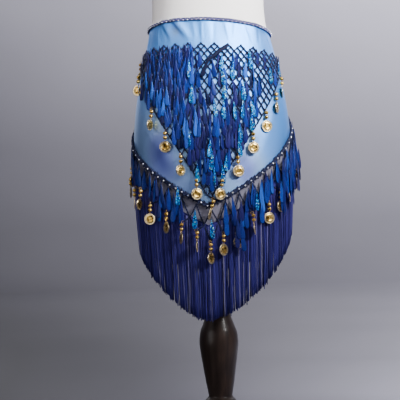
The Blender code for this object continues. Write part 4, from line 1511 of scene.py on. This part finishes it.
def make_upper_sequins(model, paillette, foil, drops):
    places = []
    limits = np.array(SEQUIN_LIMITS).T
    for row in range(NET_ROWS):
        for column in range(NET_ROWS - row + 1):
            knot_girth, knot_height = net_place(row, column)
            cover = cover_at(knot_girth, net_depth(row))
            for aside in ASIDES if cover == 1.0 else FEWER_ASIDES:
                girth = knot_girth + aside + chance.normal(0, ASIDE_STRAY)
                height = knot_height + KNOT_RISE - chance.uniform(0, KNOT_FALL)
                short = np.interp(girth, *limits) + SEQUIN_LENGTH - height
                if short > LIMIT_LEEWAY or chance.random() > cover:
                    continue
                height += max(short, 0.0)
                if clear_of_drops(girth, height, drops):
                    places.append((girth, height))
    over = chance.random(len(places)) ** FEW_ON_TOP
    girths = np.array(places)[:, 0]
    middle, half_width, change = MIDDLE_DARK
    # Painted shade at the sides; round the middle they are darker too
    dark = np.where(np.abs(girths) > SIDE_GIRTH, UPPER_SIDE_SHADE,
                    np.where(np.abs(girths - middle) < half_width, change, 0.0))
    # Painted shade on the sequins beneath, painted light on those on top
    dark += UNDER_PAINTED_SHADE - OVER_PAINTED_LIGHT * over
    layers = SEQUIN_LAYER + OVERLAP * over
    sequin_lot("upper_sequins", model, paillette, places, layers, on_cloth, dark)
    sequin_lot("upper_foils", model, foil, hung_by(FOIL_ENDS), SEQUIN_LAYER + FOIL_OVER, on_cloth)


# Rows of lower sequins: below the hem, share of places in front and elsewhere, layer
LOWER_ROWS = (
    (0.003, 0.15, 1.00, 0.0062),
    (0.010, 0.30, 1.00, 0.0068),
    (0.018, 0.50, 1.00, 0.0074),
    (0.028, 0.95, 0.95, 0.0082),
    (0.038, 0.95, 0.95, 0.0090),
    (0.048, 0.70, 0.70, 0.0096),
    (0.058, 0.50, 0.00, 0.0102),
)
FRONT_GIRTH = 0.060
LOWER_STRAY = 0.0022
LOWER_FALL = 0.006
LOWER_UNEVEN = 0.0008
THICK_FROM, THICK_TO = 0.135, 0.250    # girths between which the lower sequins hang thickly
THICK_ASIDES = (-0.0045, 0.0045)
THICK_OUTWARD = 0.0035
# The sequins that hang over a covered drop: aside and above where it hangs
OVER_DROPS = ((-0.0030, 0.018), (0.0035, 0.015), (-0.0040, -0.003), (0.0040, -0.006))
OVER_DROPS_LAYER = 0.0178
UPPER_DROP_COUNT = 1 + len(UPPER_DROP_ROWS_LEFT) + len(UPPER_DROP_ROWS_RIGHT)
LOWER_LARGER = 1.14
LOWER_FOIL_LAYER = 0.0110


def make_lower_sequins(model, paillette, foil, drops):
    places, layers = [], []
    for place in range(-2 * LOOP_SIDE_COUNT, 2 * LOOP_SIDE_COUNT + 1):
        middle = LOOP_CENTRE + LOOP_PITCH * place / 2
        hem = float(hem_height(middle))
        thick = THICK_FROM < middle < THICK_TO
        for fall, in_front, elsewhere, layer in LOWER_ROWS:
            share = in_front if abs(middle) < FRONT_GIRTH else elsewhere
            for aside in THICK_ASIDES if thick else (0.0,):
                girth = middle + aside + chance.normal(0, LOWER_STRAY)
                height = hem - fall - chance.uniform(0, LOWER_FALL)
                if chance.random() < share and (thick or clear_of_drops(girth, height, drops)):
                    places.append((girth, height))
                    layers.append(layer + chance.uniform(0, LOWER_UNEVEN) + (THICK_OUTWARD if thick else 0.0))
    for count in COVERED_DROPS:
        girth, height = drops[UPPER_DROP_COUNT + count - 1]
        places += [(girth + aside, height + rise) for aside, rise in OVER_DROPS]
        layers += [OVER_DROPS_LAYER] * len(OVER_DROPS)
    # Painted shade on the lower sequins at the sides
    dark = np.where(np.abs(np.array(places)[:, 0]) > SIDE_GIRTH, LOWER_SIDE_SHADE, 0.0)
    sequin_lot("lower_sequins", model, paillette, places, np.array(layers), hung, dark,
               LOWER_LARGER)
    sequin_lot("lower_foils", model, foil, hung_by(LOWER_FOIL_ENDS), LOWER_FOIL_LAYER, hung)


def make_sequins(paillette, foil, drops):
    model = model_sequin()
    make_upper_sequins(model, paillette, foil, drops)
    make_folded_sequin(make_dull_paillette())
    make_lower_sequins(model, paillette, foil, drops)
    remove_model(model)


# The fringe

STRAND_STRAY = 0.0003       # how far strands stray on the strip
STRAND_UNEVEN = 0.0022      # how far their lengths differ
LOCK_SWAY = 0.0012          # how far locks, and strands in them, swing out of the straight
STRAND_SWAY = 0.0008
SWAY_GROWTH = 1.3           # the power with which that grows towards the tips
LOCK_CLING = 0.24           # how far a strand draws over to its lock's middle
STRAND_WAVE = (0.0005, 1.6)     # height and number
STRAND_DEPTH = 0.0030       # strands lie one behind another over this much
STRAND_CLEAR = 0.0004       # between the strip's inner face and the hindmost strand
BULGE_FROM, BULGE_OVER = 0.150, 0.040
STRAND_RADII = (0.85, 1.2)
LOCK_TONE = 0.75            # the share of a strand's shade that it has from its lock
# The stitched chains of the strip: falls, radius, tones, how far and how closely their loops stand out
CHAIN_FALLS = (0.0008, 0.0026, 0.0044)
CHAIN_RADIUS = 0.0010
CHAIN_TONES = (0.4, 0.2, 0.4)
CHAIN_LAYER = 0.0006
CHAIN_LOOP = (0.0004, 0.004)
CHAIN_SHIFT = 900           # how far the loops of each chain are shifted against the next, by its fall
CHAIN_STEPS = 600


def make_fringe(finish):
    count = int(2 * FRINGE_REACH / STRAND_PITCH)
    each = (count, 1)
    girths = np.linspace(-FRINGE_REACH, FRINGE_REACH, count) + chance.normal(0, STRAND_STRAY, count)
    lengths = fringe_length(girths) + chance.normal(0, STRAND_UNEVEN, count)
    share = np.linspace(0, 1, STRAND_STEPS)[None, :]
    lock = np.round(girths / CLUMP_PITCH).astype(int)
    middle = (np.round(girths / CLUMP_PITCH) * CLUMP_PITCH - girths)[:, None]
    lock -= lock.min()
    locks = lock.max() + 1
    sway = chance.normal(0, LOCK_SWAY, locks)[lock][:, None] * share ** SWAY_GROWTH
    sway = sway + chance.normal(0, STRAND_SWAY, each) * share ** SWAY_GROWTH
    clump = middle * LOCK_CLING * smooth_step(share * 2.0)
    wave = STRAND_WAVE[0] * np.sin(2 * math.pi * (share * STRAND_WAVE[1] + chance.random(each)))
    over_sides = smooth_step((np.abs(girths) - BULGE_FROM) / BULGE_OVER)[:, None]
    bulge = STRAND_BULGE * over_sides * np.sin(math.pi * share)
    depth = chance.uniform(0.0, STRAND_DEPTH, each)
    heights = fringe_top(girths)[:, None] - lengths[:, None] * share
    paths = hung(girths[:, None] + sway + clump + wave, heights,
                 STRIP_LAYER + STRAND_CLEAR + depth + bulge - FRINGE_INWARD * share ** 2)
    radii = STRAND_RADIUS * chance.uniform(*STRAND_RADII, each)
    # A few locks reach the palest tones, painted highlights of shiny strands
    shades = LOCK_TONE * chance.random(locks)[lock] + (1 - LOCK_TONE) * chance.random(count)
    strands = tubes("fringe_strands", paths, radii, YARN_SIDES, shades)
    finished(strands, finish)
    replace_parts(strands, "fringe")

    girths = np.linspace(-FRINGE_REACH, FRINGE_REACH, CHAIN_STEPS)
    rise, pitch = CHAIN_LOOP
    chains = np.stack([hung(girths, hem_height(girths) - STRIP_DROP - fall, STRIP_LAYER + CHAIN_LAYER
                            + rise * np.sin(girths * 2 * math.pi / pitch + fall * CHAIN_SHIFT))
                       for fall in CHAIN_FALLS])
    header = tubes("fringe_header", chains, CHAIN_RADIUS, CORD_SIDES, np.array(CHAIN_TONES))
    finished(header, finish)


# The studio

PLASTER_DARK = 0.040
PLASTER_RANGE = 20.0         # how much paler the palest plaster is
PLASTER_TINT = (1.0, 0.975, 1.15)
PLASTER_MOTTLE = 0.03
PLASTER_WIDTH = 1.6          # how far aside its tone goes on changing
FLOOR_REACH = 5.6            # where the floor starts to curve up
COVE = 1.0                   # the radius of that curve
WALL_HEIGHT = 4.6
FLOOR_SIDES = 72
FLOOR_MIDDLE = 0.05          # the radius of its middle face
FLOOR_SINK = 0.0006          # how far it lies below the stand
COVE_STEPS = 12
# How far floor and wall run, counted from the wall's foot, and along this the tone of the painted light and
# its rise to the right
PLASTER_RUN = (-5.4, 2.05)
PLASTER_PAINTED_LIGHT = ((-5.4, 0.490), (-4.66, 0.346), (-3.8, 0.302), (-2.8, 0.310), (-1.8, 0.360), (-0.6, 0.412),
                  (0.2, 0.472), (0.82, 0.598), (1.42, 0.727), (2.05, 0.830))
PLASTER_PAINTED_SIDE_LIGHT = ((-5.4, 0.710), (-4.66, 0.510), (-3.6, 0.330), (-1.8, 0.168), (-0.4, 0.110), (2.05, 0.095))
WHITE = (1.0, 1.0, 1.0)
KEY_WHITE = (1.0, 0.985, 0.97)
# The lamps: a spot's spread in degrees (none for a panel), place, aim, size, power, colour
LAMPS = (
    ("key", 31.0, (1.9, -1.8, 2.2), (0.0, 0.0, 1.29), 0.40, 1780.0, KEY_WHITE),
    ("key_front", 29.0, (0.4, -2.4, 2.3), (0.0, 0.0, 1.30), 0.40, 510.0, KEY_WHITE),
    ("key_wide", None, (1.9, -1.8, 2.2), (0.0, 0.0, 0.80), 0.90, 30.0, KEY_WHITE),
    ("fill", 26.0, (-2.1, -0.6, 2.0), (0.0, 0.0, 1.32), 0.50, 85.0, (1.0, 0.84, 0.84)),
    ("left_wide", None, (-2.0, -1.6, 0.9), (0.0, 0.0, 0.65), 1.50, 16.0, (1.0, 0.97, 0.98)),
    ("rim_left", None, (-1.3, 1.7, 1.2), (0.0, 0.0, 0.80), 0.80, 3.0, (0.95, 0.96, 1.0)),
    ("rim_right", None, (1.6, 1.8, 1.9), (0.0, 0.0, 0.80), 0.80, 14.0, (0.92, 0.95, 1.0)),
    ("wall", None, (0.4, 2.6, 3.8), (0.3, 6.6, 0.90), 2.20, 260.0, WHITE),
)
AIR_COLOUR = (0.62, 0.63, 0.72, 1.0)
AIR_STRENGTH = 0.36


def make_plaster():
    """Plaster with painted light: paler to the right and, past the floor's middle, the farther it runs back
    and up.
    """
    plaster = new_finish("studio_grey", (0.25, 0.245, 0.28), 0.95)
    places = places_on(plaster)
    part = add_node(plaster, "SeparateXYZ", {"Vector": places}).outputs
    level_place = add_node(plaster, "CombineXYZ", {"X": part["X"], "Y": part["Y"]}).outputs[0]
    reach = add_node(plaster, "VectorMath", {0: level_place}, operation="LENGTH").outputs["Value"]
    run = maths(plaster, "SUBTRACT", maths(plaster, "ADD", reach, part["Z"]), FLOOR_REACH + COVE)
    aside = add_node(plaster, "Clamp", {"Value": part["X"], "Min": -PLASTER_WIDTH,
                                        "Max": PLASTER_WIDTH}).outputs[0]
    start, end = PLASTER_RUN
    along = carried(plaster, run, 0.0, 1.0, start, end)
    up, steeper = (colour_ramp(plaster, along, [((mark - start) / (end - start), (tone, tone, tone))
                                                for mark, tone in marks])
                   for marks in (PLASTER_PAINTED_LIGHT, PLASTER_PAINTED_SIDE_LIGHT))
    across = maths(plaster, "MULTIPLY", aside, steeper)
    mottled = carried(plaster, noise(plaster, places, 1.3, 3.0), -PLASTER_MOTTLE, PLASTER_MOTTLE)
    # Painted light: the tone rises to the right and up the wall
    level = maths(plaster, "ADD", maths(plaster, "ADD", across, up), mottled)
    tones = [(mark, tuple(PLASTER_DARK * PLASTER_RANGE ** mark * share for share in PLASTER_TINT))
             for mark in np.linspace(0.0, 1.0, 9)]
    tint(plaster, level, tones)
    return plaster


def make_studio():
    """A round floor that runs up into a wall."""
    rows = [(FLOOR_MIDDLE, 0.0), (FLOOR_REACH, 0.0)]
    rows += [(FLOOR_REACH + COVE * math.sin(angle), COVE * (1 - math.cos(angle)))
             for angle in np.linspace(0.1, math.pi / 2, COVE_STEPS)]
    rows += [(FLOOR_REACH + COVE, WALL_HEIGHT)]
    turn = 2 * math.pi * np.arange(FLOOR_SIDES) / FLOOR_SIDES
    radius, height = (column[:, None] for column in np.array(rows).T)
    points = np.stack(np.broadcast_arrays(radius * np.cos(turn), radius * np.sin(turn), height - FLOOR_SINK),
                      axis=-1)
    place = np.arange(len(rows) * FLOOR_SIDES).reshape(1, len(rows), FLOOR_SIDES)
    floor = mesh_piece("studio_floor", points, ring_faces(place) + [place[0, 0].tolist()])
    floor.data.materials.append(make_plaster())


def add_lamp(name, spread, place, aim, size, power, colour):
    """A round panel or, with a spread, a soft spot whose light fades from its middle out."""
    lamp = bpy.data.lights.new(name, "SPOT" if spread else "AREA")
    if spread:
        lamp.spot_size = math.radians(spread)
        lamp.spot_blend = 1.0
        lamp.shadow_soft_size = size
    else:
        lamp.shape = "DISK"
        lamp.size = size
    lamp.energy = power
    lamp.color = colour
    holder = bpy.data.objects.new(name, lamp)
    bpy.context.scene.collection.objects.link(holder)
    holder.location = place
    holder.visible_camera = False
    towards = np.array(aim) - np.array(place)
    holder.rotation_euler = (math.acos(-towards[2] / np.linalg.norm(towards)), 0,
                             math.atan2(towards[1], towards[0]) - math.pi / 2)


def make_lights():
    world = bpy.data.worlds.new("studio_air")
    bpy.context.scene.world = world
    world.use_nodes = True
    air = world.node_tree.nodes["Background"]
    air.inputs["Color"].default_value = AIR_COLOUR
    air.inputs["Strength"].default_value = AIR_STRENGTH
    for lamp in LAMPS:
        add_lamp(*lamp)


def make_camera():
    camera = bpy.data.cameras.new("camera")
    camera.sensor_width = SENSOR
    camera.lens = LENS
    holder = bpy.data.objects.new("camera", camera)
    bpy.context.scene.collection.objects.link(holder)
    holder.rotation_euler = (math.pi / 2, CAMERA_ROLL, 0)
    holder.location = CAMERA_PLACE
    bpy.context.scene.camera = holder


def main():
    make_camera()
    make_lights()
    make_studio()
    wood = make_wood()
    satin = make_satin()
    yarn = make_yarn("navy_yarn", *NAVY_YARN)
    violet = make_yarn("violet_yarn", *VIOLET_YARN)
    gold = make_gold()
    silver = make_silver()
    make_stand(wood)
    make_form(make_jersey())
    cloth = make_cloth(satin)
    make_knot(satin)
    make_tie_end("left_tip", "tie_end_left", -1, satin)
    make_tie_end("right_tip", "tie_end_right", 1, satin)
    braids = make_braids(yarn, violet, silver)
    make_upper_net(yarn)
    make_lower_net(yarn)
    drops = make_drops(gold)
    make_sequins(make_paillette(), make_foil(), drops)
    make_fringe(make_fringe_yarn())


main()
